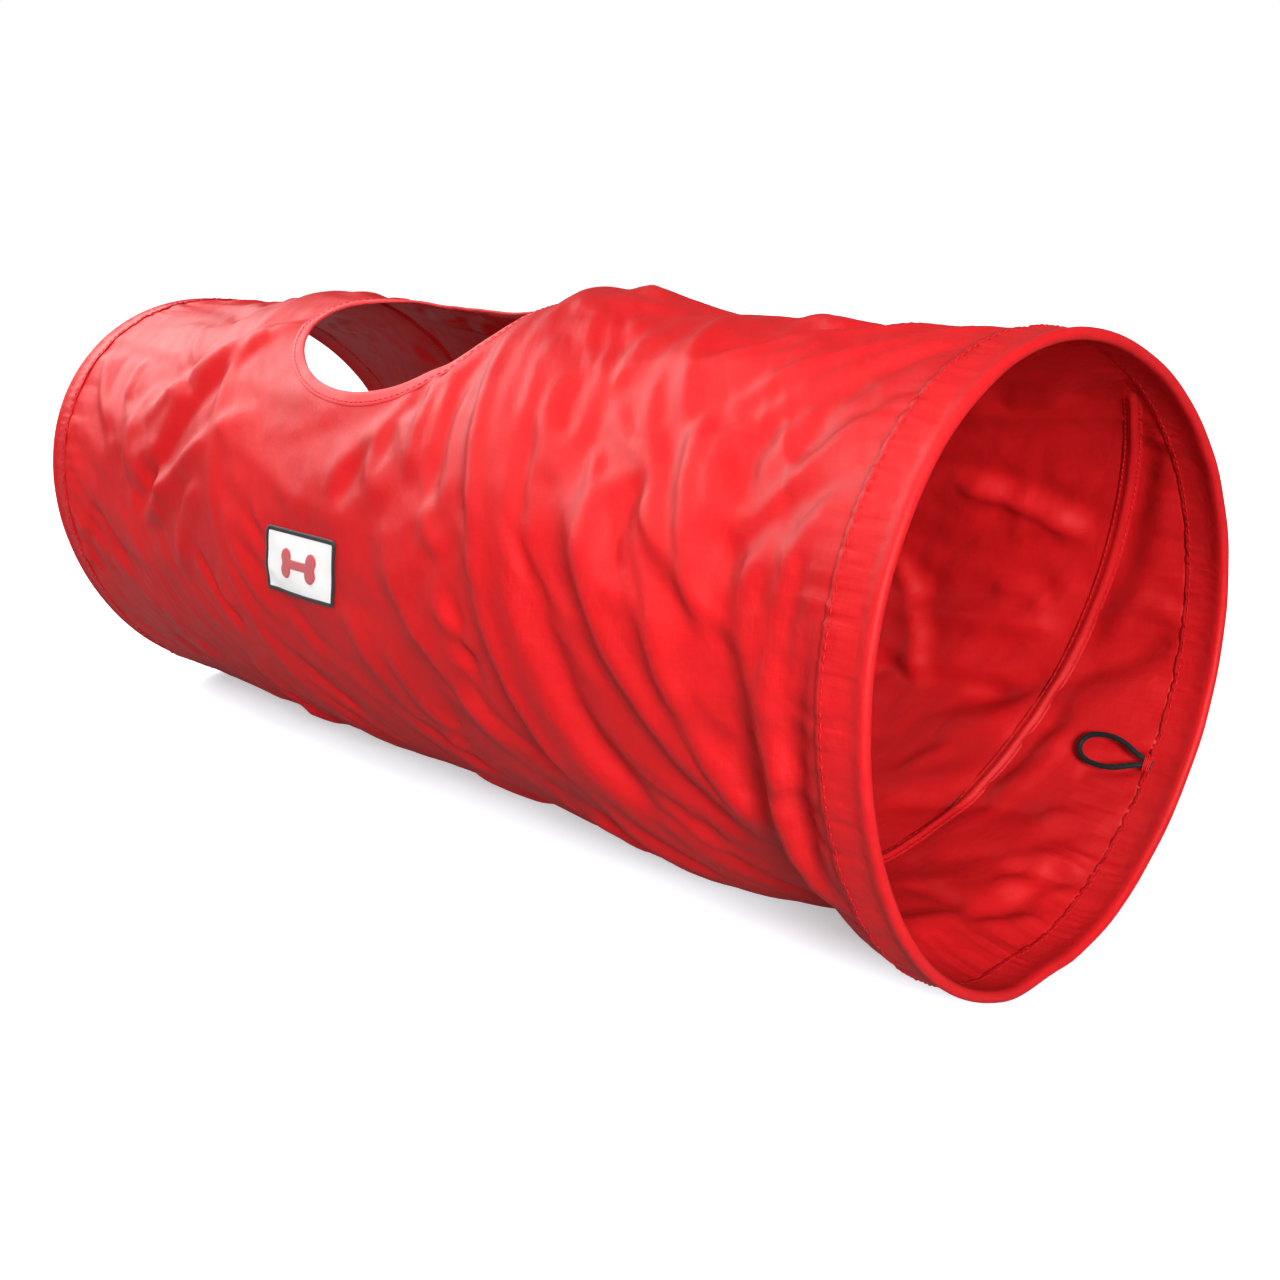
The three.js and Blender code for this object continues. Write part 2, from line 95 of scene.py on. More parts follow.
# Folds that show most: x and angle (degrees from the top) at both ends, half width and height in mm.
# The first group lies on the label's side, the second on the far side, where the mouth shows it from inside,
# and the third adds narrower creases to the front half of the label's side.
FOLDS = [
    (166, 300, 248, 240, 8, 3.4), (148, 288, 192, 238, 9, -3.0), (112, 296, 158, 234, 8, 2.8),
    (212, 286, 258, 240, 8, 3.0), (206, 318, 243, 278, 5, 1.8), (236, 316, 246, 290, 6, -2.2),
    (44, 286, 110, 240, 9, 2.2), (14, 268, 40, 236, 9, 1.6), (96, 280, 106, 258, 6, -1.8),
    (84, 332, 122, 286, 6, 2.6), (70, 328, 82, 292, 5, -1.8), (58, 322, 58, 296, 5, 1.6),
    (46, 318, 34, 296, 5, -1.4), (160, 322, 168, 306, 6, -2.2), (138, 320, 150, 308, 5, -1.6),
    (168, 346, 204, 312, 6, 1.8), (264, 326, 256, 310, 5, -1.6), (196, 304, 192, 286, 6, -2.4),
    (280, 306, 272, 286, 5, 1.6), (272, 266, 272, 232, 6, 2.6), (284, 286, 279, 238, 5, -2.0),
    (256, 298, 262, 270, 6, 1.8), (26, 302, 8, 288, 6, -1.6), (-70, 332, -196, 298, 8, 2.6),
    (-98, 324, -196, 274, 8, -2.4), (-86, 304, -190, 272, 7, 2.0), (-120, 286, -150, 262, 8, 1.6),

    (186, 66, 250, 79, 7, -3.0), (288, 38, 240, 106, 8, 2.6), (292, 96, 190, 119, 7, 3.0),
    (150, 103, 240, 100, 7, -2.6), (150, 119, 222, 116, 6, 2.4), (248, 112, 206, 152, 6, 2.4),
    (140, 88, 166, 120, 7, -2.4), (184, 148, 256, 139, 7, 2.4), (198, 93, 230, 95, 6, -2.0),
    (228, 171, 262, 173, 6, 1.8), (262, 128, 288, 124, 4, 1.6), (258, 140, 288, 137, 4, -1.4),
    (256, 156, 288, 152, 4, 1.6),

    (288, 350, 214, 316, 4, 1.5), (286, 338, 226, 308, 4, -1.5), (268, 356, 190, 322, 5, 1.5),
    (286, 322, 250, 300, 4, 1.3), (276, 300, 276, 244, 4, -1.8), (266, 278, 262, 236, 5, 1.8),
    (150, 335, 176, 296, 4, 1.5), (126, 318, 150, 276, 4, -1.5),
]
STRAY_FOLDS = 230                # further folds scattered over the whole tube
FOLD_GAIN = 1.5
FOLD_SHARPNESS = 1.35
CRISP = 0.4                      # share of the folds pressed in again after the cloth has settled
CREASE_LEAN = math.radians(35)   # folds lean this far from the hoop direction

random.seed(7)


# ---------------------------------------------------------------- arithmetic
def unit(vectors):
    """The same directions, at length 1."""
    return vectors / np.linalg.norm(vectors, axis=-1, keepdims=True)


def halfway(values):
    return (values.min() + values.max()) / 2


def angle_between(a, b):
    """Signed turn from b to a, within half a turn."""
    return (a - b + math.pi) % TURN - math.pi


def distance_run(path):
    """Distance along a path at each of its points."""
    return np.concatenate([[0], np.cumsum(np.linalg.norm(np.diff(path, axis=0), axis=1))])


def read_at(values, run, at):
    """Points or directions given at the distances `run`, read at the distances `at`."""
    return np.stack([np.interp(at, run, values[:, k]) for k in range(3)], axis=-1)


def resample(path, spacing, closed=False):
    """Points at an even spacing along a path."""
    if closed:
        path = np.vstack([path, path[:1]])
    run = distance_run(path)
    count = max(2, round(run[-1] / spacing))
    even = read_at(path, run, np.linspace(0, run[-1], count + 1))
    return even[:-1] if closed else even


def loop_tangent(loop):
    """Directions along a closed loop."""
    return unit(np.roll(loop, -1, axis=0) - np.roll(loop, 1, axis=0))


def smooth_loop(values, rounds):
    for _ in range(rounds):
        values = (np.roll(values, 1, axis=0) + 2 * values + np.roll(values, -1, axis=0)) / 4
    return values


def smooth_run(values, rounds):
    """Even out a run of points or directions, keeping both ends."""
    for _ in range(rounds):
        inner = (values[:-2] + 2 * values[1:-1] + values[2:]) / 4
        values = np.vstack([values[:1], inner, values[-1:]])
    return values


def spin_noise(angle, fineness, seed):
    """Smooth random value round the tunnel, without a seam."""
    return noise.noise(Vector((math.sin(angle) * fineness, math.cos(angle) * fineness, seed)))


# ---------------------------------------------------------------- what the frame says
def vertices_of(mesh):
    flat = np.empty(len(mesh.vertices) * 3)
    mesh.vertices.foreach_get("co", flat)
    return flat.reshape(-1, 3)


def cad(*names):
    """Vertices of the named CAD nodes."""
    return np.concatenate([vertices_of(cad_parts[name].data) for name in names])


RING = cad("front_ring_wire")
RING_X = halfway(RING[:, 0])
AXIS = (halfway(RING[:, 1]), halfway(RING[:, 2]))
STITCH_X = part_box("front_hem")[0][0]
RIM_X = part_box("front_hem")[1][0]
RING_CORNERS = 36                # facets of the CAD's ring wire


def polar(points):
    """Angle from the top towards +Y, and distance, about the tunnel's axis."""
    y = points[:, 1] - AXIS[0]
    z = points[:, 2] - AXIS[1]
    return np.arctan2(y, z), np.hypot(y, z)


def ring_corners():
    """Angle and radius of the ring wire's centre line at its facet corners, in order."""
    turned = (polar(RING)[0] + math.pi / RING_CORNERS) % TURN
    groups = np.array_split(RING[np.argsort(turned)], RING_CORNERS)
    angle, radius = polar(np.array([group.mean(axis=0) for group in groups]))
    order = np.argsort(angle % TURN)
    return (angle % TURN)[order], radius[order]


CORNER_A, CORNER_R = ring_corners()


def ring_radius(angle):
    """Smooth radius of the ring wire's centre line through the CAD's facet corners (cubic, periodic)."""
    angle = np.asarray(angle, float) % TURN
    a = np.concatenate([CORNER_A[-2:] - TURN, CORNER_A, CORNER_A[:3] + TURN])
    r = np.concatenate([CORNER_R[-2:], CORNER_R, CORNER_R[:3]])
    i = np.clip(np.searchsorted(a, angle, side="right") - 1, 1, RING_CORNERS + 2)
    h = a[i + 1] - a[i]
    t = (angle - a[i]) / h
    slope = (r[i + 1] - r[i - 1]) / (a[i + 1] - a[i - 1])
    slope_next = (r[i + 2] - r[i]) / (a[i + 2] - a[i])
    return ((2 * t**3 - 3 * t**2 + 1) * r[i] + (t**3 - 2 * t**2 + t) * h * slope
            + (-2 * t**3 + 3 * t**2) * r[i + 1] + (t**3 - t**2) * h * slope_next)


MEAN_RADIUS = float(ring_radius(np.linspace(0, TURN, 360)).mean())


def ring_normal(angle):
    """Outward unit normal (y, z) of the ring outline."""
    step = 0.01
    before, after = angle - step, angle + step
    r0, r1 = ring_radius(before), ring_radius(after)
    dy = r1 * np.sin(after) - r0 * np.sin(before)
    dz = r1 * np.cos(after) - r0 * np.cos(before)
    size = np.hypot(dy, dz)
    return -dz / size, dy / size


def on_ring(x, angle, offset):
    """Point on the plain tube, offset outwards from the ring wire's centre line."""
    x, angle, offset = np.broadcast_arrays(np.asarray(x, float), np.asarray(angle, float), offset)
    r = ring_radius(angle)
    ny, nz = ring_normal(angle)
    y = AXIS[0] + r * np.sin(angle) + ny * offset
    z = AXIS[1] + r * np.cos(angle) + nz * offset
    return np.stack([x, y, z], axis=-1)


def read_hole():
    """Peek hole's centre and half sizes (x, angle), read from the CAD binding."""
    points = cad("peek_hole_binding")
    angle = polar(points)[0]
    half_x = np.ptp(points[:, 0]) / 2 - BINDING_WIDTH
    half_s = np.ptp(angle) / 2 * MEAN_RADIUS - BINDING_WIDTH
    return halfway(points[:, 0]), halfway(angle), half_x, half_s


def read_spiral():
    """Spiral as x = start + slope * angle, with its first and last angle."""
    points = cad("spiral_wire_1", "spiral_wire_2", "spiral_wire_3")
    points = points[np.argsort(-points[:, 0])]
    angle = np.unwrap(polar(points)[0])
    slope, start = np.polyfit(angle, points[:, 0], 1)
    return start, slope, angle[0], angle[-1]


def read_label():
    """Label's middle, size and skew from the CAD border: top and bottom edges are level, the ends slant."""
    points = cad("label_border")
    x = points[:, 0]
    s = polar(points)[0] * MEAN_RADIUS
    top = x[s > s.max() - 0.5 * MM]
    bottom = x[s < s.min() + 0.5 * MM]
    length = (np.ptp(top) + np.ptp(bottom)) / 2
    return halfway(x), halfway(s), length, np.ptp(s), top.mean() - bottom.mean()


HOLE_X, HOLE_ANGLE, HOLE_HALF_X, HOLE_HALF_S = read_hole()
SPIRAL_START, SPIRAL_SLOPE, SPIRAL_FIRST, SPIRAL_LAST = read_spiral()
LABEL_X, LABEL_S, LABEL_LENGTH, LABEL_HEIGHT, LABEL_SKEW = read_label()


# ---------------------------------------------------------------- the tube's shape before it settles
def from_hems(x, reach):
    """0 at the hems' stitch lines, rising to 1 at `reach` from them."""
    return np.clip((STITCH_X - np.abs(x)) / reach, 0, 1)


def swell(x, angle):
    """How far the cloth stands off the plain tube."""
    total = 0
    for middle_x, middle_a, height, reach_x, reach_a in SWELLS:
        turn = np.degrees(angle_between(angle, math.radians(middle_a)))
        total = total + height * np.exp(-((x / MM - middle_x) / reach_x)**2 - (turn / reach_a)**2)
    return total * from_hems(x, 30 * MM) * MM


def stray_folds():
    """Scattered folds in the same form as FOLDS: slanting, but along the tube on the far low side."""
    folds = []
    for _ in range(STRAY_FOLDS):
        x = random.uniform(-280, 280)
        a = random.uniform(0, 360)
        lean = CREASE_LEAN + random.gauss(0, 0.3)
        if 80 < a < 165:
            lean = math.radians(80) + random.gauss(0, 0.3)
        length = random.uniform(22, 75)
        dx = length * math.sin(lean) / 2
        turn = math.degrees(length * math.cos(lean) / 2 * MM / MEAN_RADIUS)
        height = random.uniform(0.5, 1.7) * random.choice((-1, 1))
        width = random.uniform(3.5, 8)
        folds.append((x - dx, a + turn, x + dx, a - turn, width, height))
    return folds


ALL_FOLDS = FOLDS + stray_folds()


def hole_level(x, angle):
    """Below 1 inside the peek hole, and the place scaled so that the hole is a unit circle."""
    u = (x - HOLE_X) / HOLE_HALF_X
    v = angle_between(angle, HOLE_ANGLE) * MEAN_RADIUS / HOLE_HALF_S
    return np.hypot(u, v), u, v


def spiral_angle(x):
    """Angle of the spiral, counted from its front end, where it passes x."""
    return (x - SPIRAL_START) / SPIRAL_SLOPE


def spiral_distance(x, angle):
    """Distance along x to the nearest turn of the spiral."""
    pitch = abs(SPIRAL_SLOPE) * TURN
    away = (x - SPIRAL_START - SPIRAL_SLOPE * angle + pitch / 2) % pitch - pitch / 2
    return np.abs(away)


def spiral_ridge(x, angle):
    """The cloth stands up over the spiral wire and sinks a little between its turns."""
    margin = 0.3
    away = spiral_distance(x, angle)
    inside = (spiral_angle(x) > SPIRAL_FIRST - margin) & (spiral_angle(x) < SPIRAL_LAST + margin)
    ridge = 1.5 * np.exp(-(away / (4 * MM))**2) - 1.6 * (1 - np.exp(-(away / (40 * MM))**2))
    return np.where(inside, ridge, -1.6) * from_hems(x, 30 * MM) * MM


def held_flat(x, angle):
    """Share of the folds left where the cloth is sewn to the spiral casing or to the label."""
    along = (spiral_angle(x) > SPIRAL_FIRST) & (spiral_angle(x) < SPIRAL_LAST)
    at_spiral = np.where(along, np.exp(-(spiral_distance(x, angle) / (7 * MM))**2), 0)
    s = angle_between(angle, LABEL_S / MEAN_RADIUS) * MEAN_RADIUS
    past_end = np.abs(x - LABEL_X - LABEL_SKEW * s / LABEL_HEIGHT) - LABEL_LENGTH / 2
    past_side = np.abs(s) - LABEL_HEIGHT / 2
    clear_of_label = np.clip(np.maximum(past_end, past_side) / (9 * MM) + 0.2, 0.12, 1)
    return (1 - 0.85 * at_spiral) * clear_of_label


def fold_height(x, angle):
    """Sum of all folds at the given places: each a ridge with a shallow trough beside it."""
    total = np.zeros(x.shape)
    for x0, a0, x1, a1, width, height in ALL_FOLDS:
        run_x = (x1 - x0) * MM
        run_s = math.radians(a1 - a0) * MEAN_RADIUS
        length = math.hypot(run_x, run_s)
        dx = x - x0 * MM
        ds = angle_between(angle, math.radians(a0)) * MEAN_RADIUS
        along = (dx * run_x + ds * run_s) / length**2
        across = (dx * run_s - ds * run_x) / length / (width * MM)
        across = across - 0.5 * np.sin(np.clip(along, 0, 1) * math.pi)
        taper = np.clip(along * 3.2 + 0.3, 0, 1) * np.clip((1 - along) * 3.2 + 0.3, 0, 1)
        taper = taper * taper * (3 - 2 * taper)
        shape = np.exp(-np.abs(across)**FOLD_SHARPNESS) - 0.45 * np.exp(-((across - 1.5) / 1.2)**2)
        total += FOLD_GAIN * height * MM * shape * taper
    near_hole = np.clip((hole_level(x, angle)[0] - 0.98) / 0.25, 0.15, 1)
    return total * from_hems(x, 9 * MM) * near_hole * held_flat(x, angle)


# ---------------------------------------------------------------- mesh helpers
def make_mesh(name, points, faces, uv=None, smooth=True):
    mesh = bpy.data.meshes.new(name)
    mesh.from_pydata([tuple(p) for p in points], [], [tuple(int(i) for i in f) for f in faces])
    if uv is not None:
        layer = mesh.uv_layers.new(name="cloth")
        corners = np.empty(len(mesh.loops), int)
        mesh.loops.foreach_get("vertex_index", corners)
        layer.data.foreach_set("uv", uv[corners].astype(np.float32).ravel())
    mesh.validate()
    mesh.update()
    mesh.polygons.foreach_set("use_smooth", [smooth] * len(mesh.polygons))
    obj = bpy.data.objects.new(name, mesh)
    bpy.context.scene.collection.objects.link(obj)
    return obj


def loft_faces(rows, columns, close_rows=False, close_columns=False, start=0):
    """Quads over a rows x columns grid of points, joined up in either direction."""
    faces = []
    for i in range(rows if close_rows else rows - 1):
        a = start + i * columns
        b = start + (i + 1) % rows * columns
        for j in range(columns if close_columns else columns - 1):
            k = (j + 1) % columns
            faces.append((a + j, a + k, b + k, b + j))
    return faces


def rod_faces(rings, sides, start=0):
    """Faces over rings of points, with both ends capped."""
    first = range(start, start + sides)
    last = range(start + (rings - 1) * sides, start + rings * sides)
    return loft_faces(rings, sides, close_columns=True, start=start) + [tuple(reversed(first)), tuple(last)]


def loft(name, rings, closed=False, across=None, along=None):
    """Solid over rings of points (rings, sides, 3), with cloth coordinates across and along if given."""
    count, sides = rings.shape[:2]
    faces = loft_faces(count, sides, True, True) if closed else rod_faces(count, sides)
    uv = None
    if across is not None:
        uv = np.stack(np.broadcast_arrays(across, along[:, None]), axis=-1).reshape(-1, 2)
    return make_mesh(name, rings.reshape(-1, 3), faces, uv)


def frames_along(path, up, closed=False):
    """Side and normal directions along a path, the normals as near `up` as they can be."""
    tangent = loop_tangent(path) if closed else unit(np.gradient(path, axis=0))
    side = unit(np.cross(tangent, np.broadcast_to(up, path.shape)))
    return side, np.cross(side, tangent)


def circle(sides):
    """Angles of the corners of a round profile."""
    return np.arange(sides) * TURN / sides


def sweep(path, radius, sides, up, closed=False):
    """Rings of points round a path."""
    side, normal = frames_along(path, up, closed)
    turn = circle(sides)[:, None]
    return path[:, None] + side[:, None] * radius * np.cos(turn) + normal[:, None] * radius * np.sin(turn)


def open_edges(faces):
    """Edges used by one face only, in that face's direction and in order."""
    seen = dict.fromkeys((a, b) for f in faces for a, b in zip(f, f[1:] + f[:1]))
    return [(a, b) for a, b in seen if (b, a) not in seen]


def sheet(name, top, under, faces, uv):
    """Closed thin solid between two layers of points, with narrow walls at every open edge."""
    n = len(top)
    closed = faces + [tuple(i + n for i in reversed(f)) for f in faces]
    closed += [(b, a, a + n, b + n) for a, b in open_edges(faces)]
    return make_mesh(name, np.vstack([top, under]), closed, np.vstack([uv, uv]))


def wrap_uv(obj):
    """Close the jump in the second cloth coordinate on faces that cross the bottom seam."""
    circumference = TURN * MEAN_RADIUS
    layer = obj.data.uv_layers.active.data
    for face in obj.data.polygons:
        values = [layer[i].uv[1] for i in face.loop_indices]
        if max(values) - min(values) > circumference / 2:
            for i in face.loop_indices:
                if layer[i].uv[1] < 0:
                    layer[i].uv[1] += circumference


# ---------------------------------------------------------------- cloth tube: grid, simulation, finish
def cloth_grid():
    """Regular grid over the tube: x down the rows, angle along the columns."""
    rows = round(2 * STITCH_X / CELL) + 1
    columns = round(TURN * MEAN_RADIUS / CELL)
    return np.meshgrid(np.linspace(STITCH_X, -STITCH_X, rows), circle(columns), indexing="ij")


def snap_to_hole(x, angle):
    """Move the grid points nearest the hole's edge onto it, so that the cut edge is smooth."""
    level, u, v = hole_level(x, angle)
    snapped = np.zeros(x.shape, bool)
    for axis in (0, 1):
        other = np.roll(level, -1, axis=axis)
        crossing = (level - 1) * (other - 1) < 0
        nearer_here = np.abs(level - 1) <= np.abs(other - 1)
        snapped |= crossing & nearer_here
        snapped |= np.roll(crossing & ~nearer_here, 1, axis=axis)
    scale = 1 / level[snapped]
    x[snapped] = HOLE_X + u[snapped] * scale * HOLE_HALF_X
    angle[snapped] = HOLE_ANGLE + v[snapped] * scale * HOLE_HALF_S / MEAN_RADIUS
    level[snapped] = 1.0
    return level


def grid_faces(level):
    """Faces of the cloth grid outside the hole; cells cut corner to corner keep one triangle."""
    side = np.sign(np.where(np.abs(level - 1) < 1e-9, 0, level - 1)).astype(int).ravel()
    faces = []
    for cell in loft_faces(*level.shape, close_columns=True):
        a, b, c, d = cell
        sides = [side[i] for i in cell]
        if min(sides) >= 0 and max(sides) > 0:
            faces.append(cell)
        elif min(sides) < 0 < max(sides):
            for corner in ((a, b, c), (b, c, d), (c, d, a), (d, a, b)):
                if [side[i] for i in corner] == [0, 1, 0]:
                    faces.append(corner)
    return faces


CLOTH_SETTINGS = {
    "quality": 6,
    "mass": 0.15,
    "tension_stiffness": 30,
    "compression_stiffness": 30,
    "shear_stiffness": 12,
    "bending_stiffness": 0.05,
    "tension_damping": 8,
    "compression_damping": 8,
    "shear_damping": 8,
    "bending_damping": 0.5,
    "air_damping": 4,
    "vertex_group_mass": "sewn",
}


JITTER_PLACE = Vector((13.7, 5.1, 9.3))     # where the noise field is read for the cloth's first unevenness


def evaluated(obj):
    return obj.evaluated_get(bpy.context.evaluated_depsgraph_get())


def simulate(start, rest, faces, pinned):
    """Let the cloth settle from `start` towards the unstretched shape `rest`."""
    obj = make_mesh("cloth_draft", start, faces)
    obj.shape_key_add(name="Basis")
    key = obj.shape_key_add(name="unstretched")
    key.data.foreach_set("co", rest.ravel())
    group = obj.vertex_groups.new(name="sewn")
    group.add([int(i) for i in np.nonzero(pinned)[0]], 1.0, "REPLACE")
    modifier = obj.modifiers.new("Cloth", "CLOTH")
    for setting, value in CLOTH_SETTINGS.items():
        setattr(modifier.settings, setting, value)
    modifier.settings.rest_shape_key = key
    modifier.settings.effector_weights.gravity = 0.05
    modifier.collision_settings.use_collision = False
    modifier.point_cache.frame_start = 1
    modifier.point_cache.frame_end = SIM_FRAMES + 1
    for step in range(1, SIM_FRAMES + 1):
        bpy.context.scene.frame_set(step)
    settled = vertices_of(evaluated(obj).data)
    bpy.context.scene.frame_set(1)
    bpy.data.objects.remove(obj)
    return settled


def drape():
    """Settled cloth as grid coordinates, points and faces, one layer thick."""
    x, angle = cloth_grid()
    faces = grid_faces(snap_to_hole(x, angle))
    used = np.unique([i for f in faces for i in f])
    renumber = np.zeros(x.size, int)
    renumber[used] = np.arange(len(used))
    faces = [tuple(int(renumber[i]) for i in f) for f in faces]
    x, angle = x.ravel()[used], angle.ravel()[used]
    height = CLOTH_OFFSET + swell(x, angle) + fold_height(x, angle) + spiral_ridge(x, angle)
    start = on_ring(x, angle, height)
    pinned = (np.abs(x) > STITCH_X - 1e-6) | (spiral_distance(x, angle) < SPIRAL_HOLD)
    pinned |= hole_level(x, angle)[0] < 1.03
    jitter = np.array([noise.noise(Vector(p) / (14 * MM) + JITTER_PLACE) for p in start]) * 0.6 * MM
    jitter[pinned] = 0
    ny, nz = ring_normal(angle)
    start[:, 1] += ny * jitter
    start[:, 2] += nz * jitter
    rest = on_ring(x * (1 + AXIAL_SLACK), angle - TWIST * (x / STITCH_X), height)
    rest[:, 1:] = AXIS + (rest[:, 1:] - AXIS) * (1 + HOOP_SLACK)
    return x, angle, simulate(start, rest, faces, pinned), faces


def refine(points, faces, extra):
    """One Catmull-Clark step, carrying the per-vertex values in `extra` along."""
    obj = make_mesh("refine_draft", points, faces)
    for name, values in extra.items():
        attribute = obj.data.attributes.new(name, "FLOAT", "POINT")
        attribute.data.foreach_set("value", values.astype(np.float32))
    obj.modifiers.new("Subdivision", "SUBSURF").levels = 1
    result = evaluated(obj).data
    points = vertices_of(result)
    faces = [tuple(p.vertices) for p in result.polygons]
    carried = {}
    for name in extra:
        values = np.empty(len(points), np.float32)
        result.attributes[name].data.foreach_get("value", values)
        carried[name] = values
    bpy.data.objects.remove(obj)
    return points, faces, carried


def outward(normals, points):
    """The normals, or their opposites where they point towards the tunnel's axis on the whole."""
    away = points - np.array([0, *AXIS])
    away[..., 0] = 0
    return -normals if np.sum(normals * away) < 0 else normals


def vertex_normals(points, faces):
    mesh = bpy.data.meshes.new("normals_draft")
    mesh.from_pydata([tuple(p) for p in points], [], faces)
    mesh.update()
    flat = np.empty(len(mesh.vertices) * 3)
    mesh.vertex_normals.foreach_get("vector", flat)
    bpy.data.meshes.remove(mesh)
    return outward(flat.reshape(-1, 3), points)


HEM_SEEDS = {"front": 2.0, "rear": 9.0}
GATHER = 0.7                     # height of the gathers on a hem's stitch line, in mm


def fine_wrinkles(x, angle):
    """Small creases drawn out along the cloth's slanting tension lines, in metres."""
    s = angle_between(angle, 0) * MEAN_RADIUS
    lean_x, lean_s = math.sin(CREASE_LEAN), math.cos(CREASE_LEAN)
    along = (lean_s * s - lean_x * x) / MM
    across = (lean_x * s + lean_s * x) / MM
    depth = np.empty(len(x))
    for i in range(len(x)):
        sway = noise.noise(Vector((x[i] * 22, s[i] * 22, 11.5))) * 0.9
        crease = 1 - 2.6 * abs(noise.noise(Vector((along[i] / 38, across[i] / 9 + sway, 0.5))))
        ripple = noise.noise(Vector((along[i] / 60, across[i] / 17 + sway, 7.5)))
        where = noise.noise(Vector((x[i] * 16, s[i] * 16, 3.5)))
        depth[i] = (0.45 * crease + 0.95 * ripple) * max(0.2, 0.7 + 1.4 * where)
    return depth * from_hems(x, 14 * MM) * MM


def pucker(angle, seed):
    """Gathers along a hem's stitch line, strongest low on the far side."""
    away = angle_between(angle, math.radians(135)) / math.radians(45)
    strength = 0.8 + 1.3 * math.exp(-away * away)
    fine = 1 - 2 * abs(spin_noise(angle, 26, seed * 26))
    return strength * (spin_noise(angle, 15, seed * 15) * 0.7 + (fine - 0.6) * 0.6)


def gathers(x, angle):
    """The cloth drawn up at both hems: short wrinkles that run out from the stitch lines."""
    depth = np.zeros(len(x))
    for i in range(len(x)):
        away = (STITCH_X - abs(x[i])) / MM
        seed = HEM_SEEDS["front" if x[i] > 0 else "rear"]
        reach = 16 + 14 * spin_noise(angle[i], 9, seed)
        size = (GATHER + 1.3 * min(away / 7, 1)) * math.exp(-(away / reach)**2)
        if size > 0.02:
            depth[i] = pucker(angle[i], seed) * size
    return depth * MM


class Skin:
    """Looks up the finished cloth's middle surface by x and angle, or by nearest point."""

    def __init__(self, points, faces):
        self.tree = BVHTree.FromPolygons([Vector(p) for p in points], faces)

    def facing_out(self, place, normal):
        radial = Vector((0, place.y - AXIS[0], place.z - AXIS[1]))
        return place, normal if normal.dot(radial) > 0 else -normal

    def at(self, x, angle):
        ray = Vector((0, math.sin(angle), math.cos(angle)))
        place, normal, _, _ = self.tree.ray_cast(Vector((x, *AXIS)), ray)
        if place is None:
            return self.near(on_ring(x, angle, CLOTH_OFFSET))
        return self.facing_out(place, normal)

    def near(self, point):
        place, normal, _, _ = self.tree.find_nearest(Vector(point))
        return self.facing_out(place, normal)


def places_and_normals(found):
    """Two arrays out of a list of (place, normal)."""
    return np.array([p for p, _ in found]), np.array([n for _, n in found])


def finished_cloth():
    """Refined cloth with its fine creases: points, faces, grid coordinates, normals."""
    x, angle, points, faces = drape()
    points, faces, carried = refine(points, faces, {"x": x, "cos": np.cos(angle), "sin": np.sin(angle)})
    x = carried["x"].astype(float)
    angle = np.arctan2(carried["sin"], carried["cos"]).astype(float)
    relief = fine_wrinkles(x, angle) * held_flat(x, angle) + CRISP * fold_height(x, angle) + gathers(x, angle)
    points = points + vertex_normals(points, faces) * relief[:, None]
    return points, faces, x, angle, vertex_normals(points, faces)


CLOTH_POINTS, CLOTH_FACES, CLOTH_X, CLOTH_ANGLE, CLOTH_NORMALS = finished_cloth()
SKIN = Skin(CLOTH_POINTS, CLOTH_FACES)


def cloth_tube():
    half = CLOTH_NORMALS * CLOTH_THICK / 2
    uv = np.stack([CLOTH_X, CLOTH_ANGLE * MEAN_RADIUS], axis=-1)
    tube = sheet("tunnel_cloth", CLOTH_POINTS + half, CLOTH_POINTS - half, CLOTH_FACES, uv)
    wrap_uv(tube)
    return tube


# ---------------------------------------------------------------- hems, ring wires, ferrules
HEM_PLY = 0.8 * MM
HEM_STEPS = 720
HEM_ROLL = 2.2 * MM              # radius of the rolled rim
HEM_DEPTH = RIM_X - STITCH_X     # from the rim to the stitch line
INNER_GATHER = 0.65              # gathers on the inner ply, as a share of those outside


def hem_profile():
    """Centre line of the folded hem cloth, as (distance in from the rim, offset)."""
    ply = HEM_PLY / 2
    bend = HEM_ROLL - ply * 0.6
    outer = [(HEM_DEPTH + 1.2 * MM, CLOTH_OFFSET + ply), (HEM_DEPTH, CLOTH_OFFSET + ply),
             (15 * MM, 1.75 * MM), (10.5 * MM, 1.25 * MM), (7 * MM, 1.0 * MM), (4.9 * MM, 1.3 * MM),
             (3.6 * MM, bend - 0.2 * MM)]
    turns = np.radians(np.linspace(90, -90, 11))
    roll = [(HEM_ROLL - bend * math.cos(t), bend * math.sin(t)) for t in turns]
    inner = [(3.6 * MM, -bend * 0.86), (5.2 * MM, -bend * 0.5), (7.4 * MM, -0.1 * MM),
             (10.5 * MM, 0.6 * MM), (14.5 * MM, 0.95 * MM), (HEM_DEPTH, CLOTH_OFFSET - ply),
             (HEM_DEPTH + 1.0 * MM, CLOTH_OFFSET - ply)]
    return np.array(outer + roll + inner)


def crumple(angle, depth, inside, seed):
    """Fine wrinkles across the hem's width, strongest on the inner ply low on the far side."""
    away = angle_between(angle, math.radians(130 if inside else 320)) / math.radians(60)
    strength = 0.25 + 0.75 * math.exp(-away * away)
    fade = min(1, max(0, depth / MM - 3) / 4)
    wrinkle = spin_noise(angle, 48, seed + inside * 7 + depth / (11 * MM))
    return (0.6 - 2.2 * abs(wrinkle)) * 0.5 * MM * strength * fade


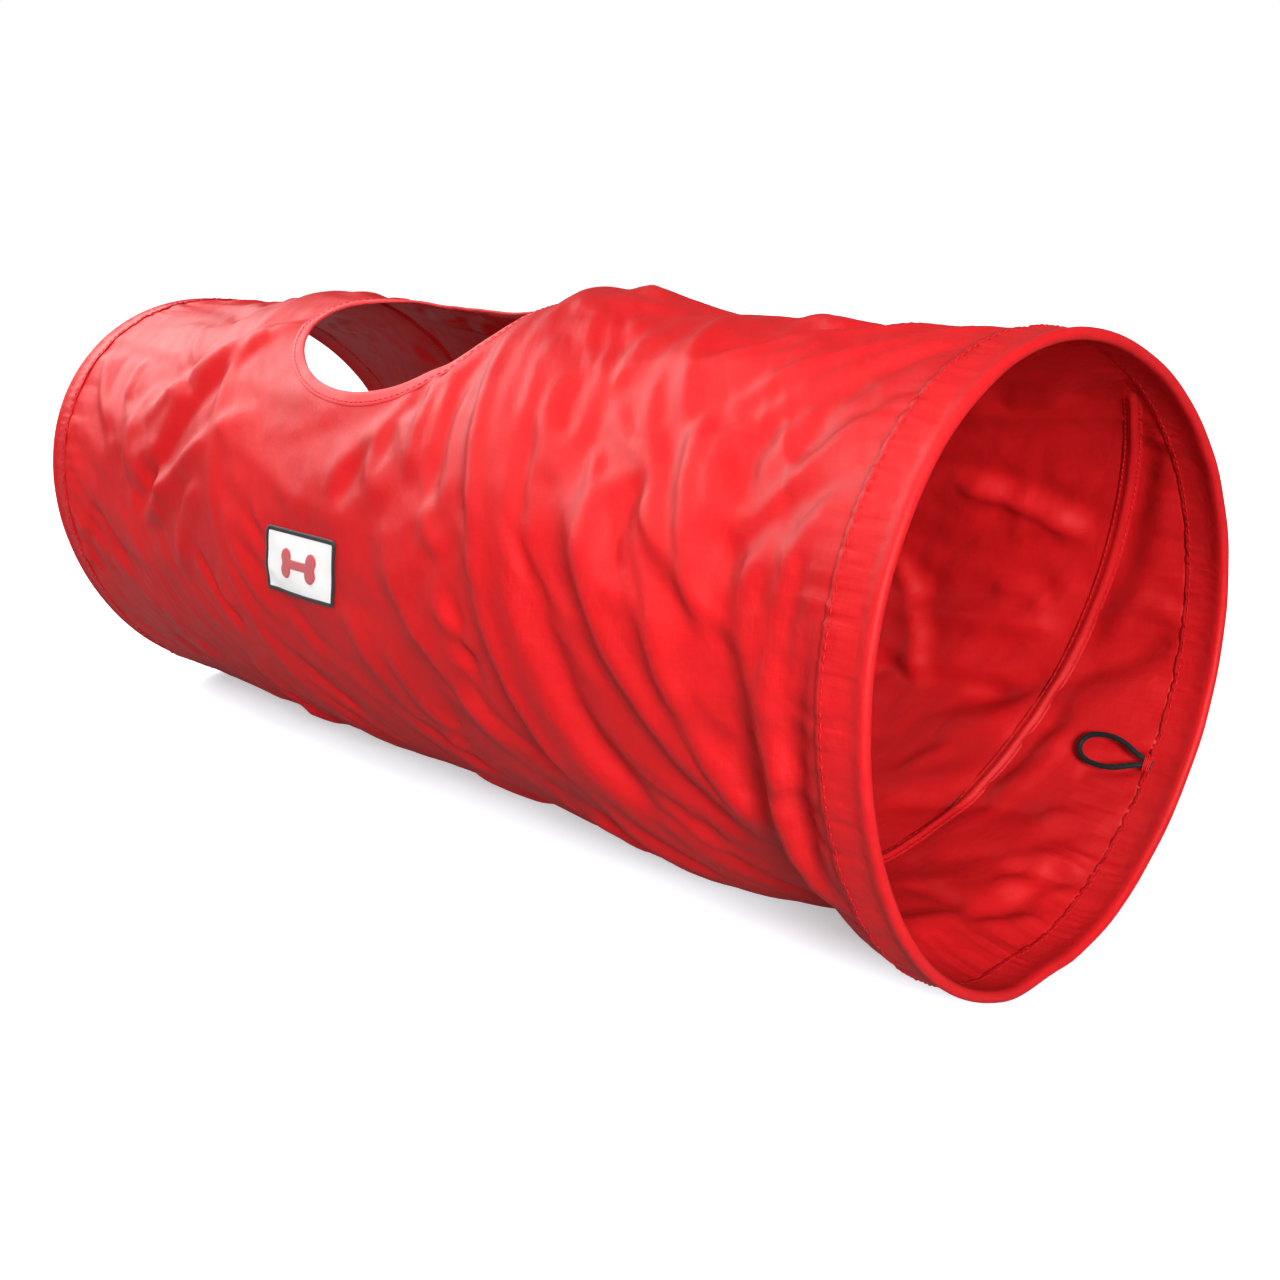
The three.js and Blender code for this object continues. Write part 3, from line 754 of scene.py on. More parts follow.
def hem(name, side, seed):
    """Rolled hem over a ring wire: the folded cloth as a closed C-shaped band."""
    line = hem_profile()
    tangent = unit(np.gradient(line, axis=0))
    across = np.stack([-tangent[:, 1], tangent[:, 0]], axis=-1) * HEM_PLY * 0.3
    contour = np.vstack([line + across, (line - across)[::-1]])
    run = distance_run(line)
    depth = np.clip(contour[:, 0] / HEM_DEPTH, 0, 1)
    on_inner = np.arange(len(line)) > len(line) / 2
    inside = np.concatenate([on_inner, on_inner[::-1]])
    turns = circle(HEM_STEPS) - math.pi
    rings = []
    for a in turns:
        gather = pucker(a, seed) * GATHER * MM * depth**1.3 * (1 - (1 - INNER_GATHER) * inside)
        wrinkle = np.array([crumple(a, d, i, seed) for d, i in zip(contour[:, 0], inside)])
        uneven_edge = pucker(a, seed + 4.2) * 0.6 * MM * depth**3 * inside
        uneven_rim = spin_noise(a, 5, seed) * 0.5 * MM * (1 - depth)
        x = side * (RIM_X - contour[:, 0] - uneven_edge - uneven_rim)
        rings.append(on_ring(x, a, contour[:, 1] + gather + wrinkle))
    band = loft(name, np.array(rings), True, np.concatenate([run, run[::-1]]), turns * MEAN_RADIUS)
    wrap_uv(band)
    return band


def ring_wire(name, node, side):
    low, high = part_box(node)
    radius = (high[0] - low[0]) / 2 / math.cos(math.radians(30))
    path = on_ring(side * RING_X, circle(360) - math.pi, 0.0)
    return loft(name, sweep(path, radius, 10, (1, 0, 0), closed=True), closed=True)


def ferrule(name, node):
    """Crimped sleeve: a tube pinched at two places, open at both ends."""
    low, high = np.array(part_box(node))
    radius = (high[0] - low[0]) / 2
    stations = np.linspace(-0.5, 0.5, 41)
    turn = circle(20)
    rings = []
    for t, wall in [(t, radius) for t in stations] + [(t, radius * 0.7) for t in stations[::-1]]:
        pinch = 1 - 0.16 * math.exp(-((abs(t) - 0.22) / 0.05)**2)
        along = np.full(len(turn), t * (high[1] - low[1]))
        rings.append(np.stack([wall * np.cos(turn), along, wall * pinch * np.sin(turn)], axis=-1))
    return loft(name, (low + high) / 2 + np.array(rings), closed=True)


# ---------------------------------------------------------------- stitches
STITCH_LENGTH = 2.6 * MM
STITCH_GAP = 1.0 * MM
STITCH_RADIUS = 0.28 * MM
STITCH_SIDES = 6
# One stitch: place along it, share of the thread's radius, height in radii.
STITCH_SHAPE = [(-0.5, 0.25, -0.6), (-0.42, 0.75, 0.1), (-0.2, 1.0, 0.5),
                (0.2, 1.0, 0.5), (0.42, 0.75, 0.1), (0.5, 0.25, -0.6)]


def stitch_row(name, path, normals, closed=True):
    """A row of short raised threads lying on a surface, all in one mesh."""
    if closed:
        path = np.vstack([path, path[:1]])
        normals = np.vstack([normals, normals[:1]])
    run = distance_run(path)
    count = int(run[-1] / (STITCH_LENGTH + STITCH_GAP))
    place, size, rise = np.array(STITCH_SHAPE).T[:, :, None]
    turn = circle(STITCH_SIDES)[:, None]
    points = []
    faces = []
    for i in range(count):
        at = (i + 0.5) * run[-1] / count + place[:, 0] * STITCH_LENGTH
        line = read_at(path, run, at)
        up = unit(read_at(normals, run, at))
        side = np.cross(up, unit(line[-1] - line[0]))
        ring = side[:, None] * np.cos(turn) + up[:, None] * np.sin(turn)
        thread_rings = (line + up * rise * STITCH_RADIUS)[:, None] + ring * size[:, None] * STITCH_RADIUS
        faces += rod_faces(len(at), STITCH_SIDES, len(points))
        points += list(thread_rings.reshape(-1, 3))
    return make_mesh(name, points, faces)


def hem_stitches(name, side, outside, seed):
    """Lockstitch round a hem, on its outer or inner ply."""
    turn = circle(540) - math.pi
    sign = 1 if outside else -1
    share = 1 if outside else INNER_GATHER
    gather = np.array([pucker(a, seed) for a in turn]) * GATHER * MM * share
    path = on_ring(side * (STITCH_X + 1.0 * MM), turn, CLOTH_OFFSET + sign * HEM_PLY * 0.8 + gather)
    ny, nz = ring_normal(turn)
    return stitch_row(name, path, np.stack([np.zeros(len(turn)), ny * sign, nz * sign], axis=-1))


# ---------------------------------------------------------------- peek hole binding
TAPE_FACE = 0.21 * MM            # the tape's inner side, off the cloth's middle
# Across the tape: share of its width, and its outer side's height over the inner one, in mm.
TAPE_STEPS = [(1.0, 0.15), (0.8, 0.3), (0.5, 0.38), (0.2, 0.5)]


def hole_edge():
    """Points of the cloth's cut edge at the peek hole, in order."""
    following = dict(open_edges(CLOTH_FACES))
    loops = []
    while following:
        loop = [next(iter(following))]
        while loop[-1] in following:
            loop.append(following.pop(loop[-1]))
        loops.append(CLOTH_POINTS[loop[:-1]])
    widest = max(loops, key=lambda loop: np.ptp(loop[:, 0]))
    return resample(widest, 2.2 * MM, closed=True)


def binding():
    """Tape folded over the cut edge, following the cloth on both faces, and its two stitch rows."""
    edge = smooth_loop(hole_edge(), 3)
    normal = unit(smooth_loop(places_and_normals([SKIN.near(p) for p in edge])[1], 6))
    out = np.cross(loop_tangent(edge), normal)
    if np.sum(out * (edge - edge.mean(axis=0))) < 0:
        out = -out
    bed = []
    for share, _ in TAPE_STEPS:
        place, lift = places_and_normals([SKIN.near(p) for p in edge + out * BINDING_WIDTH * share])
        bed.append((smooth_loop(place, 2), lift))

    def ply(sign, raised):
        heights = [TAPE_FACE + raised * height * MM for _, height in TAPE_STEPS]
        return [place + lift * sign * height for (place, lift), height in zip(bed, heights)]

    turns = np.radians(90 - 22.5 * np.arange(1, 8))
    roll = [edge - out * (0.2 + math.cos(t)) * MM + normal * 0.8 * MM * math.sin(t) for t in turns]
    hollow = ply(1, 0) + [edge - out * 0.4 * MM] + ply(-1, 0)[::-1]
    rows = ply(1, 1) + roll + ply(-1, 1)[::-1] + hollow[::-1]
    tape_object = loft("peek_hole_binding_tape", np.stack(rows, axis=1), True,
                       np.arange(len(rows)) * MM, distance_run(edge))
    stitches = []
    for sign, label in ((1, "outside"), (-1, "inside")):
        lift = bed[1][1] * sign
        seam = bed[1][0] * 0.6 + bed[2][0] * 0.4 + lift * (TAPE_FACE + 0.3 * MM)
        stitches.append(stitch_row(f"peek_hole_stitches_{label}", seam, lift))
    return tape_object, stitches


# ---------------------------------------------------------------- wire spiral and casing
SPIRAL_STEP = math.radians(0.75)
WIRE_RADIUS = 0.6 * MM
WIRE_DEPTH = 0.85 * MM           # wire's centre, inwards from the cloth
CASING_CROWN = 2                 # half width of the casing's rounded part, in mm
CASING_HALF = [(4.2, 0.24), (3.2, 0.34), (2.4, 0.52), (1.7, 0.9), (0.9, 1.5)]   # place across, height, in mm
CASING = [(-x, h) for x, h in CASING_HALF] + [(0, 1.8)] + CASING_HALF[::-1]


def spiral_bed(dx):
    """Cloth places and directions along the spiral, `dx` mm to one side, evened out."""
    angle = np.arange(SPIRAL_FIRST, SPIRAL_LAST, SPIRAL_STEP)
    x = SPIRAL_START + SPIRAL_SLOPE * angle + dx * MM
    place, normal = places_and_normals([SKIN.at(*p) for p in zip(x, angle)])
    return smooth_run(place, 12), unit(smooth_run(normal, 40))


def spiral_strip():
    """Cloth channel on the tube's inside: two flat flanges and a rounded crown over the wire."""
    centre, normal = spiral_bed(0)
    count = len(centre)
    ends = np.minimum(np.arange(count), np.arange(count)[::-1])
    close = np.clip(ends / 3, 0.2, 1)[:, None] * MM
    outer = []
    back = []
    for dx, height in CASING:
        on_crown = abs(dx) < CASING_CROWN
        place, lean = (centre + np.array([dx * MM, 0, 0]), normal) if on_crown else spiral_bed(dx)
        outer.append(place - lean * height * close)
        back.append(place - lean * max(0.18, height - 0.3) * close)
    across = np.array([dx for dx, _ in CASING + CASING[::-1]]) * MM
    strip = loft("spiral_casing_strip", np.stack(outer + back[::-1], axis=1), False,
                 across, np.arange(count) * SPIRAL_STEP * MEAN_RADIUS)
    rows = []
    for dx, label in ((-3.1, "rear"), (3.1, "front")):
        place, lean = spiral_bed(dx)
        rows.append(stitch_row(f"casing_stitches_{label}", place - lean * 0.26 * MM, -lean, closed=False))
    return strip, rows


def spiral_spring():
    """The wire in the casing, ending a little inside the casing's ends."""
    place, normal = spiral_bed(0)
    centre = place - normal * WIRE_DEPTH
    return loft("spiral_spring_wire", sweep(centre[5:-5], WIRE_RADIUS, 8, normal[5:-5]))


# ---------------------------------------------------------------- label
LABEL_EDGE = 2.4 * MM
BED_MARGIN = 3 * MM


class LabelBed:
    """Smoothed patch of the cloth's surface that the label lies on."""

    def __init__(self):
        self.nu, self.nv = 41, 27
        self.half_u = LABEL_LENGTH / 2 + BED_MARGIN
        self.half_v = LABEL_HEIGHT / 2 + BED_MARGIN
        grid = np.empty((self.nv, self.nu, 3))
        for j, v in enumerate(np.linspace(-self.half_v, self.half_v, self.nv)):
            for i, u in enumerate(np.linspace(-self.half_u, self.half_u, self.nu)):
                x = LABEL_X + u + LABEL_SKEW * v / LABEL_HEIGHT
                grid[j, i] = SKIN.at(x, (LABEL_S + v) / MEAN_RADIUS)[0]
        for _ in range(5):
            inner = (grid[1:-1, 1:-1] * 2 + grid[:-2, 1:-1] + grid[2:, 1:-1]
                     + grid[1:-1, :-2] + grid[1:-1, 2:]) / 6
            grid[1:-1, 1:-1] = inner
        self.grid = grid
        self.normal = outward(unit(np.cross(np.gradient(grid, axis=1), np.gradient(grid, axis=0))), grid)

    def at(self, u, v, height):
        """Point over the gently waving label bed; u runs towards +X, v upwards."""
        i = np.clip((u / self.half_u + 1) / 2 * (self.nu - 1), 0, self.nu - 1.001)
        j = np.clip((v / self.half_v + 1) / 2 * (self.nv - 1), 0, self.nv - 1.001)
        i0, j0 = i.astype(int), j.astype(int)
        fi, fj = (i - i0)[..., None], (j - j0)[..., None]

        def mix(field):
            return ((field[j0, i0] * (1 - fi) + field[j0, i0 + 1] * fi) * (1 - fj)
                    + (field[j0 + 1, i0] * (1 - fi) + field[j0 + 1, i0 + 1] * fi) * fj)

        wave = (0.55 + 0.3 * np.sin(u / (9 * MM) + 1.0) * np.cos(v / (11 * MM))) * MM
        return mix(self.grid) + mix(self.normal) * (wave + height)[..., None]


def label_patch(bed):
    length = LABEL_LENGTH - 1.2 * LABEL_EDGE
    height = LABEL_HEIGHT - 1.2 * LABEL_EDGE
    u, v = np.meshgrid(np.linspace(-length / 2, length / 2, 61), np.linspace(-height / 2, height / 2, 37))
    top = bed.at(u, v, 0.35 * MM).reshape(-1, 3)
    under = bed.at(u, v, -0.1 * MM).reshape(-1, 3)
    return sheet("label_cloth", top, under, loft_faces(*u.shape), np.stack([u.ravel(), v.ravel()], axis=-1))


def arc(middle_x, middle_y, radius, start, end, steps):
    """Points on an arc, from one angle to another in degrees."""
    turns = np.radians(np.linspace(start, end, steps + 1))
    return [(middle_x + radius * math.cos(t), middle_y + radius * math.sin(t)) for t in turns]


def label_outline(length, height, radius, spacing):
    """Rounded rectangle at an even spacing."""
    points = []
    for k, (cx, cy) in enumerate(((1, 1), (-1, 1), (-1, -1), (1, -1))):
        points += arc(cx * (length / 2 - radius), cy * (height / 2 - radius), radius, 90 * k, 90 * k + 90, 6)
    flat = np.hstack([points, np.zeros((len(points), 1))])
    return resample(flat, spacing, closed=True)[:, :2]


def inset(outline, distance):
    """Flat outline moved inwards by a distance."""
    tangent = loop_tangent(outline)
    return outline + np.stack([-tangent[:, 1], tangent[:, 0]], axis=-1) * distance


def label_border(bed):
    """Overlocked edge: thread wrapped closely round the label's rim."""
    line = label_outline(LABEL_LENGTH - LABEL_EDGE, LABEL_HEIGHT - LABEL_EDGE, 1.6 * MM, 0.22 * MM)
    rows = []
    for a in circle(10):
        wrap = 1 + 0.16 * np.sin(np.arange(len(line)) * TURN / 4 + a * 0.5)
        outwards = LABEL_EDGE / 2 * math.cos(a) * (0.92 + 0.08 * wrap)
        u, v = inset(line, -outwards[:, None]).T
        rows.append(bed.at(u, v, 0.15 * MM + 0.75 * MM * math.sin(a) * wrap))
    return loft("label_overlock", np.stack(rows, axis=1), closed=True)


def bone_outline():
    """Plain bone: a shaft with two round knobs at each end."""
    half, knob, rise = 10.5, 4.2, 3.4
    outline = []
    for cu, cv, start in ((half, rise, -40), (-half, rise, -15), (-half, -rise, 140), (half, -rise, 165)):
        outline += arc(cu, cv, knob, start, start + 235, 12)
    return np.array(outline) * MM


def label_bone(bed):
    """Embroidered bone: raised satin stitch with a rounded rim, as a closed cushion."""
    rows = []
    flat = []
    for distance, height in ((0.0, 0.3), (0.1, 0.65), (0.5, 0.9), (1.0, 0.98)):
        ring = inset(bone_outline(), distance * MM)
        flat.append(ring)
        rows.append(bed.at(ring[:, 0], ring[:, 1], height * MM))
    count, sides = len(rows), len(ring)
    return make_mesh("label_bone", np.concatenate(rows), rod_faces(count, sides), np.concatenate(flat))


# ---------------------------------------------------------------- tie loop, button
CORD = 1.3 * MM
BRAID = 3.2 * MM                 # length of a strand's turn round the cord
LOOP_LEG = 1.7 * MM


def thinnest(points):
    """The direction a flat piece is thinnest in, pointing away from the tunnel's axis."""
    out = np.linalg.svd(points - points.mean(axis=0), full_matrices=False)[2][2]
    away = middle_of(points) - np.array([0, *AXIS])
    return out if out[1:] @ away[1:] > 0 else -out


def middle_of(points):
    return (points.min(axis=0) + points.max(axis=0)) / 2


def spline(points, steps):
    """Catmull-Rom curve through the points."""
    p = np.asarray(points, float)
    p = np.vstack([2 * p[0] - p[1], p, 2 * p[-1] - p[-2]])
    out = []
    for i in range(1, len(p) - 2):
        a, b, c, d = p[i - 1:i + 3]
        for t in np.arange(steps) / steps:
            out.append(0.5 * (2 * b + (c - a) * t + (2 * a - 5 * b + 4 * c - d) * t**2
                              + (3 * b - a - 3 * c + d) * t**3))
    out.append(p[-2])
    return np.array(out)


class Tie:
    """Place of the loop: its root on the front hem's stitch line and the directions round and out."""

    def __init__(self):
        points = cad("tie_loop")
        self.out = thinnest(points)
        self.round = np.cross([1.0, 0, 0], self.out)
        self.length = np.ptp(points[:, 0])
        self.half_width = np.ptp(points @ self.round) / 2 - CORD
        self.root = (np.array([STITCH_X, 0, 0]) + self.round * halfway(points @ self.round)
                     + self.out * halfway(points @ self.out))

    def at(self, along, across, lift):
        return self.root + np.array([-1.0, 0, 0]) * along + self.round * across + self.out * lift


TIE = Tie()


def tie_loop():
    """Round braided cord bent into a drop, its surface carrying the crossing strands."""
    w, length = TIE.half_width, TIE.length
    half = [(-2.0 * MM, LOOP_LEG * 0.8, 3.4 * MM), (1.2 * MM, LOOP_LEG * 0.85, 3.0 * MM),
            (0.16 * length, 0.40 * w, 1.6 * MM), (0.38 * length, 0.86 * w, 0.4 * MM),
            (0.62 * length, w, 0.0), (0.86 * length, 0.74 * w, 0.3 * MM)]
    plan = half + [(length - CORD, 0.0, 0.5 * MM)] + [(d, -s, h) for d, s, h in reversed(half)]
    spacing = 0.3 * MM
    path = resample(spline([TIE.at(*p) for p in plan], 12), spacing)
    side, up = frames_along(path, TIE.out)
    turn = circle(24)
    phase = distance_run(path)[:, None] * (TURN / BRAID)
    strands = np.maximum(np.cos(4 * turn + phase), np.cos(4 * turn - phase))
    radius = (CORD * (0.955 + 0.045 * strands))[:, :, None]
    turn = turn[:, None]
    rings = path[:, None] + side[:, None] * radius * np.cos(turn) + up[:, None] * radius * np.sin(turn)
    run = np.arange(len(path)) * spacing
    return loft("tie_loop_cord", rings, False, np.arange(len(turn)) * CORD / 4, run)


def thread_bars(name, bars, radius, up, arch):
    """Short round threads, each from one point to another, arched a little along `up`."""
    t = np.linspace(0, 1, 7)[:, None]
    points = []
    faces = []
    for a, b in bars:
        line = a + (b - a) * t + up * (np.sin(t * math.pi) * arch)
        faces += rod_faces(len(t), 7, len(points))
        points += list(sweep(line, radius, 7, up).reshape(-1, 3))
    return make_mesh(name, points, faces)


def loop_bartack():
    """Dense zigzag over the loop's two legs where they leave the hem."""
    reach, height, radius = 4.0 * MM, 1.9 * MM, 0.24 * MM
    bars = []
    for k in range(8):
        along = (-2.2 + 0.42 * k) * MM
        lean = 0.2 * MM * (1 if k % 2 else -1)
        bars.append((TIE.at(along - lean, -reach, height), TIE.at(along + lean, reach, height)))
    return thread_bars("tie_loop_bartack", bars, radius, -TIE.out, 1.6 * radius)


class Lathe:
    """Turns profiles of (radius, height) about an axis through `foot`."""

    def __init__(self, foot, axis):
        self.foot = foot
        self.axis = unit(axis)
        self.u = unit(np.cross(self.axis, [1.0, 0, 0]))
        self.v = np.cross(self.axis, self.u)

    def solid(self, name, profile, sides=64):
        """Turned solid; the profile starts and ends on the axis."""
        turn = circle(sides)[:, None]
        ring = self.u * np.cos(turn) + self.v * np.sin(turn)
        points = [self.foot + self.axis * profile[0][1]]
        for r, h in profile[1:-1]:
            points += list(self.foot + self.axis * h + ring * r)
        points.append(self.foot + self.axis * profile[-1][1])
        top = len(points) - 1
        last = top - sides
        faces = loft_faces(len(profile) - 2, sides, close_columns=True, start=1)
        for k in range(sides):
            n = (k + 1) % sides
            faces += [(0, 1 + n, 1 + k), (top, last + k, last + n)]
        return make_mesh(name, points, faces)


def drill(obj, cutter):
    cut = obj.modifiers.new("Boolean", "BOOLEAN")
    cut.operation = "DIFFERENCE"
    cut.solver = "EXACT"
    cut.object = cutter


def apply_modifiers(obj):
    """Bake an object's modifiers into its mesh."""
    baked, plain = bpy.data.meshes.new_from_object(evaluated(obj)), obj.data
    obj.modifiers.clear()
    obj.data = baked
    bpy.data.meshes.remove(plain)


def tie_button():
    """Four-hole button with a raised round rim, its crossing stitches, and its shank."""
    points = cad("tie_button")
    out = thinnest(points)
    middle = middle_of(points)
    level = (points - middle) @ out
    foot = middle + out * level.max()
    height = np.ptp(level)
    radius = np.linalg.norm(np.cross(points - middle, out), axis=1).max()
    lathe = Lathe(foot, -out)
    profile = [(0, 0.25 * MM)]
    profile += arc(radius - 1.2 * MM, 1.2 * MM, 1.2 * MM, -90, 0, 6)
    profile += arc(radius - 0.8 * MM, height - 0.8 * MM, 0.8 * MM, 0, 160, 6)
    profile += [(radius - 2.1 * MM, height - 0.85 * MM), (0, height - 1.0 * MM)]
    button = lathe.solid("tie_button_disc", profile)
    square = ((1, 1), (1, -1), (-1, -1), (-1, 1))
    corners = [foot + (lathe.u * su + lathe.v * sv) * 1.15 * MM for su, sv in square]
    bit = [(0, -1 * MM), (0.5 * MM, -1 * MM), (0.5 * MM, height + 1 * MM), (0, height + 1 * MM)]
    cutters = [Lathe(corner, -out).solid(f"drill_{k}", bit) for k, corner in enumerate(corners)]
    for cutter in cutters:
        drill(button, cutter)
    apply_modifiers(button)
    for cutter in cutters:
        bpy.data.objects.remove(cutter)
    top = lathe.axis * (height - 1.3 * MM)
    bars = [(corners[a] + side + top, corners[b] + side + top) for a, b in ((0, 1), (3, 2))
            for side in (lathe.u * -0.17 * MM, lathe.u * 0.17 * MM)]
    crossing = thread_bars("tie_button_stitches", bars, 0.2 * MM, lathe.axis, 2.6 * 0.32 * MM)
    return button, crossing, *button_shank(lathe)


def button_shank(lathe):
    """Thread wound round the strands between the hem and the button."""
    base = (cad("button_thread") - lathe.foot) @ lathe.axis
    length = np.ptp(base) + 1.2 * MM
    start = lathe.foot + lathe.axis * (base.min() - 0.6 * MM)
    turns = length / (0.42 * MM)
    t = np.linspace(0, 1, int(turns * 20))[:, None]
    waist = 1.35 * MM + 0.3 * MM * (2 * t - 1)**2
    a = t * turns * TURN
    path = start + lathe.axis * t * length + (lathe.u * np.cos(a) + lathe.v * np.sin(a)) * waist
    winding = loft("button_shank_winding", sweep(path, 0.23 * MM, 7, lathe.axis))
    profile = [(0, 0), (1.4 * MM, 0), (1.15 * MM, length * 0.5), (1.4 * MM, length), (0, length)]
    return winding, Lathe(start, lathe.axis).solid("button_shank_core", profile)


# ---------------------------------------------------------------- finishes
def linear(hex_colour):
    """Scene-linear colour from an sRGB hex value."""
    parts = [(hex_colour >> shift & 255) / 255 for shift in (16, 8, 0)]
    return [p / 12.92 if p <= 0.04045 else ((p + 0.055) / 1.055)**2.4 for p in parts] + [1.0]


def is_socket(value):
    return isinstance(value, bpy.types.NodeSocket)


class Finish:
    """A procedural material: one Principled shader, and short calls that add nodes in front of it."""

    def __init__(self, name, colour, roughness, **shader):
        self.material = bpy.data.materials.new(name)
        self.material.use_nodes = True
        self.tree = self.material.node_tree
        self.shader = self.tree.nodes["Principled BSDF"]
        self.look(Base_Color=linear(colour), Roughness=roughness, **shader)
        self.normal = None

    def set(self, node, socket, value):
        if is_socket(value):
            self.tree.links.new(value, node.inputs[socket])
        else:
            node.inputs[socket].default_value = value

    def look(self, **values):
        """Set or link the shader's inputs, an underscore standing for a space."""
        for socket, value in values.items():
            self.set(self.shader, socket.replace("_", " "), value)

    def node(self, kind, **values):
        made = self.tree.nodes.new("ShaderNode" + kind)
        for socket, value in values.items():
            self.set(made, socket.replace("_", " "), value)
        return made

    def maths(self, operation, *values):
        made = self.node("Math")
        made.operation = operation
        for socket, value in enumerate(values):
            self.set(made, socket, value)
        return made.outputs[0]

    def cloth_uv(self):
        made = self.node("UVMap")
        made.uv_map = "cloth"
        return made.outputs["UV"]

    def place(self):
        return self.node("TexCoord").outputs["Object"]

    def scaled(self, vector, factors, turn=0.0):
        return self.node("Mapping", Vector=vector, Scale=factors, Rotation=(0, 0, turn)).outputs["Vector"]

    def noise(self, vector, scale, detail=3.0, roughness=0.5):
        made = self.node("TexNoise", Vector=vector, Scale=scale, Detail=detail, Roughness=roughness)
        return made.outputs["Fac"]

    def between(self, value, low, high):
        """Map a 0..1 value to low..high."""
        return self.node("MapRange", Value=value, To_Min=low, To_Max=high).outputs["Result"]

    def mix(self, share, a, b):
        made = self.node("Mix")
        made.data_type = "RGBA"
        for socket, value in ((0, share), (6, a), (7, b)):
            self.set(made, socket, value if socket == 0 or is_socket(value) else linear(value))
        return made.outputs[2]

    def bump(self, height, distance, strength=1.0):
        """Fine relief, on top of any added before."""
        made = self.node("Bump", Height=height, Distance=distance, Strength=strength)
        if self.normal is not None:
            self.set(made, "Normal", self.normal)
        self.normal = made.outputs["Normal"]
        self.look(Normal=self.normal)

    def let_light_through(self, share, colour):
        """Thin cloth: part of the light comes through from the other side."""
        through = self.node("BsdfTranslucent", Color=linear(colour))
        blend = self.node("MixShader", Fac=share)
        self.set(blend, 1, self.shader.outputs[0])
        self.set(blend, 2, through.outputs[0])
        self.set(self.tree.nodes["Material Output"], "Surface", blend.outputs[0])

    def threads(self, uv, pitch):
        """Plain weave: over-and-under threads running both ways, 0..1."""
        split = self.node("SeparateXYZ", Vector=uv)
        u, v = [self.maths("SINE", self.maths("MULTIPLY", split.outputs[k], TURN / pitch)) for k in (0, 1)]
        return self.maths("MULTIPLY_ADD", self.maths("MULTIPLY", u, v), 0.5, 0.5)

    def slubs(self, uv, length, width):
        """Uneven thread thickness: long thin streaks along both thread directions."""
        along = self.noise(self.scaled(uv, (1 / length, 1 / width, 1)), 1.0, 2.0)
        across = self.noise(self.scaled(uv, (1 / width, 1 / length, 1)), 1.0, 2.0)
        return self.maths("MULTIPLY", self.maths("ADD", along, across), 0.5)

    def paint(self, *objects, slot):
        for obj in objects:
            obj.data.materials.clear()
            obj.data.materials.append(self.material)


def taffeta(name, colour, deep, pale):
    """Shiny tightly woven polyester with faint slubs, cloudy colour and a pink sheen at a shallow angle."""
    f = Finish(name, colour, 0.45, Specular_IOR_Level=0.34, Specular_Tint=linear(0xffb4ae),
               Sheen_Weight=0.05, Sheen_Roughness=0.38, Sheen_Tint=linear(0xff5a55))
    uv = f.cloth_uv()
    clouds = f.noise(f.place(), 16.0, 4.0)
    streaks = f.slubs(uv, 14 * MM, 0.5 * MM)
    tone = f.mix(f.between(clouds, -0.2, 1.1), deep, colour)
    tone = f.mix(f.between(streaks, -0.35, 0.75), tone, f.mix(0.35, tone, pale))
    mottle = f.maths("ADD", clouds, f.maths("MULTIPLY", streaks, 0.6))
    f.look(Base_Color=tone, Roughness=f.between(mottle, 0.32, 0.5))
    f.let_light_through(0.16, 0xf01c1c)
    slanting = f.scaled(f.scaled(uv, (1, 1, 1), -CREASE_LEAN), (110, 34, 1))
    f.bump(f.noise(slanting, 1.0, 3.0, 0.55), 1.6 * MM, 0.4)
    f.bump(f.noise(f.place(), 170.0, 5.0, 0.6), 0.35 * MM, 0.35)
    f.bump(streaks, 0.12 * MM, 0.5)
    f.bump(f.threads(uv, 0.45 * MM), 0.06 * MM, 0.6)
    return f


def tape(name, colour, deep):
    """Ribbed woven tape: fine ribs across its length."""
    f = Finish(name, colour, 0.6, Sheen_Weight=0.25, Sheen_Tint=linear(0xff9a94))
    uv = f.cloth_uv()
    wear = f.noise(f.place(), 60.0, 4.0)
    f.look(Base_Color=f.mix(f.between(wear, 0.0, 0.8), colour, deep))
    f.bump(f.threads(uv, 0.9 * MM), 0.12 * MM, 0.8)
    f.bump(f.slubs(uv, 6 * MM, 0.6 * MM), 0.1 * MM, 0.5)
    return f


def drawn_steel(name, colour, roughness):
    """Spring wire: fine lines along its length and light handling marks."""
    f = Finish(name, colour, roughness, Metallic=1.0)
    marks = f.noise(f.place(), 260.0, 5.0, 0.7)
    film = f.noise(f.place(), 40.0, 3.0)
    f.look(Base_Color=f.mix(f.between(film, 0, 1), colour, 0x8b8f92),
           Roughness=f.between(marks, roughness - 0.08, roughness + 0.16))
    f.bump(marks, 0.04 * MM, 0.5)
    return f


def thread(name, colour, deep):
    """Twisted sewing thread."""
    f = Finish(name, colour, 0.55, Specular_IOR_Level=0.2)
    wave = f.node("TexWave", Vector=f.place(), Scale=900, Distortion=1.5)
    wave.bands_direction = "DIAGONAL"
    twist = wave.outputs["Fac"]
    f.look(Base_Color=f.mix(f.between(twist, 0, 0.7), colour, deep))
    f.bump(twist, 0.08 * MM, 0.6)
    return f


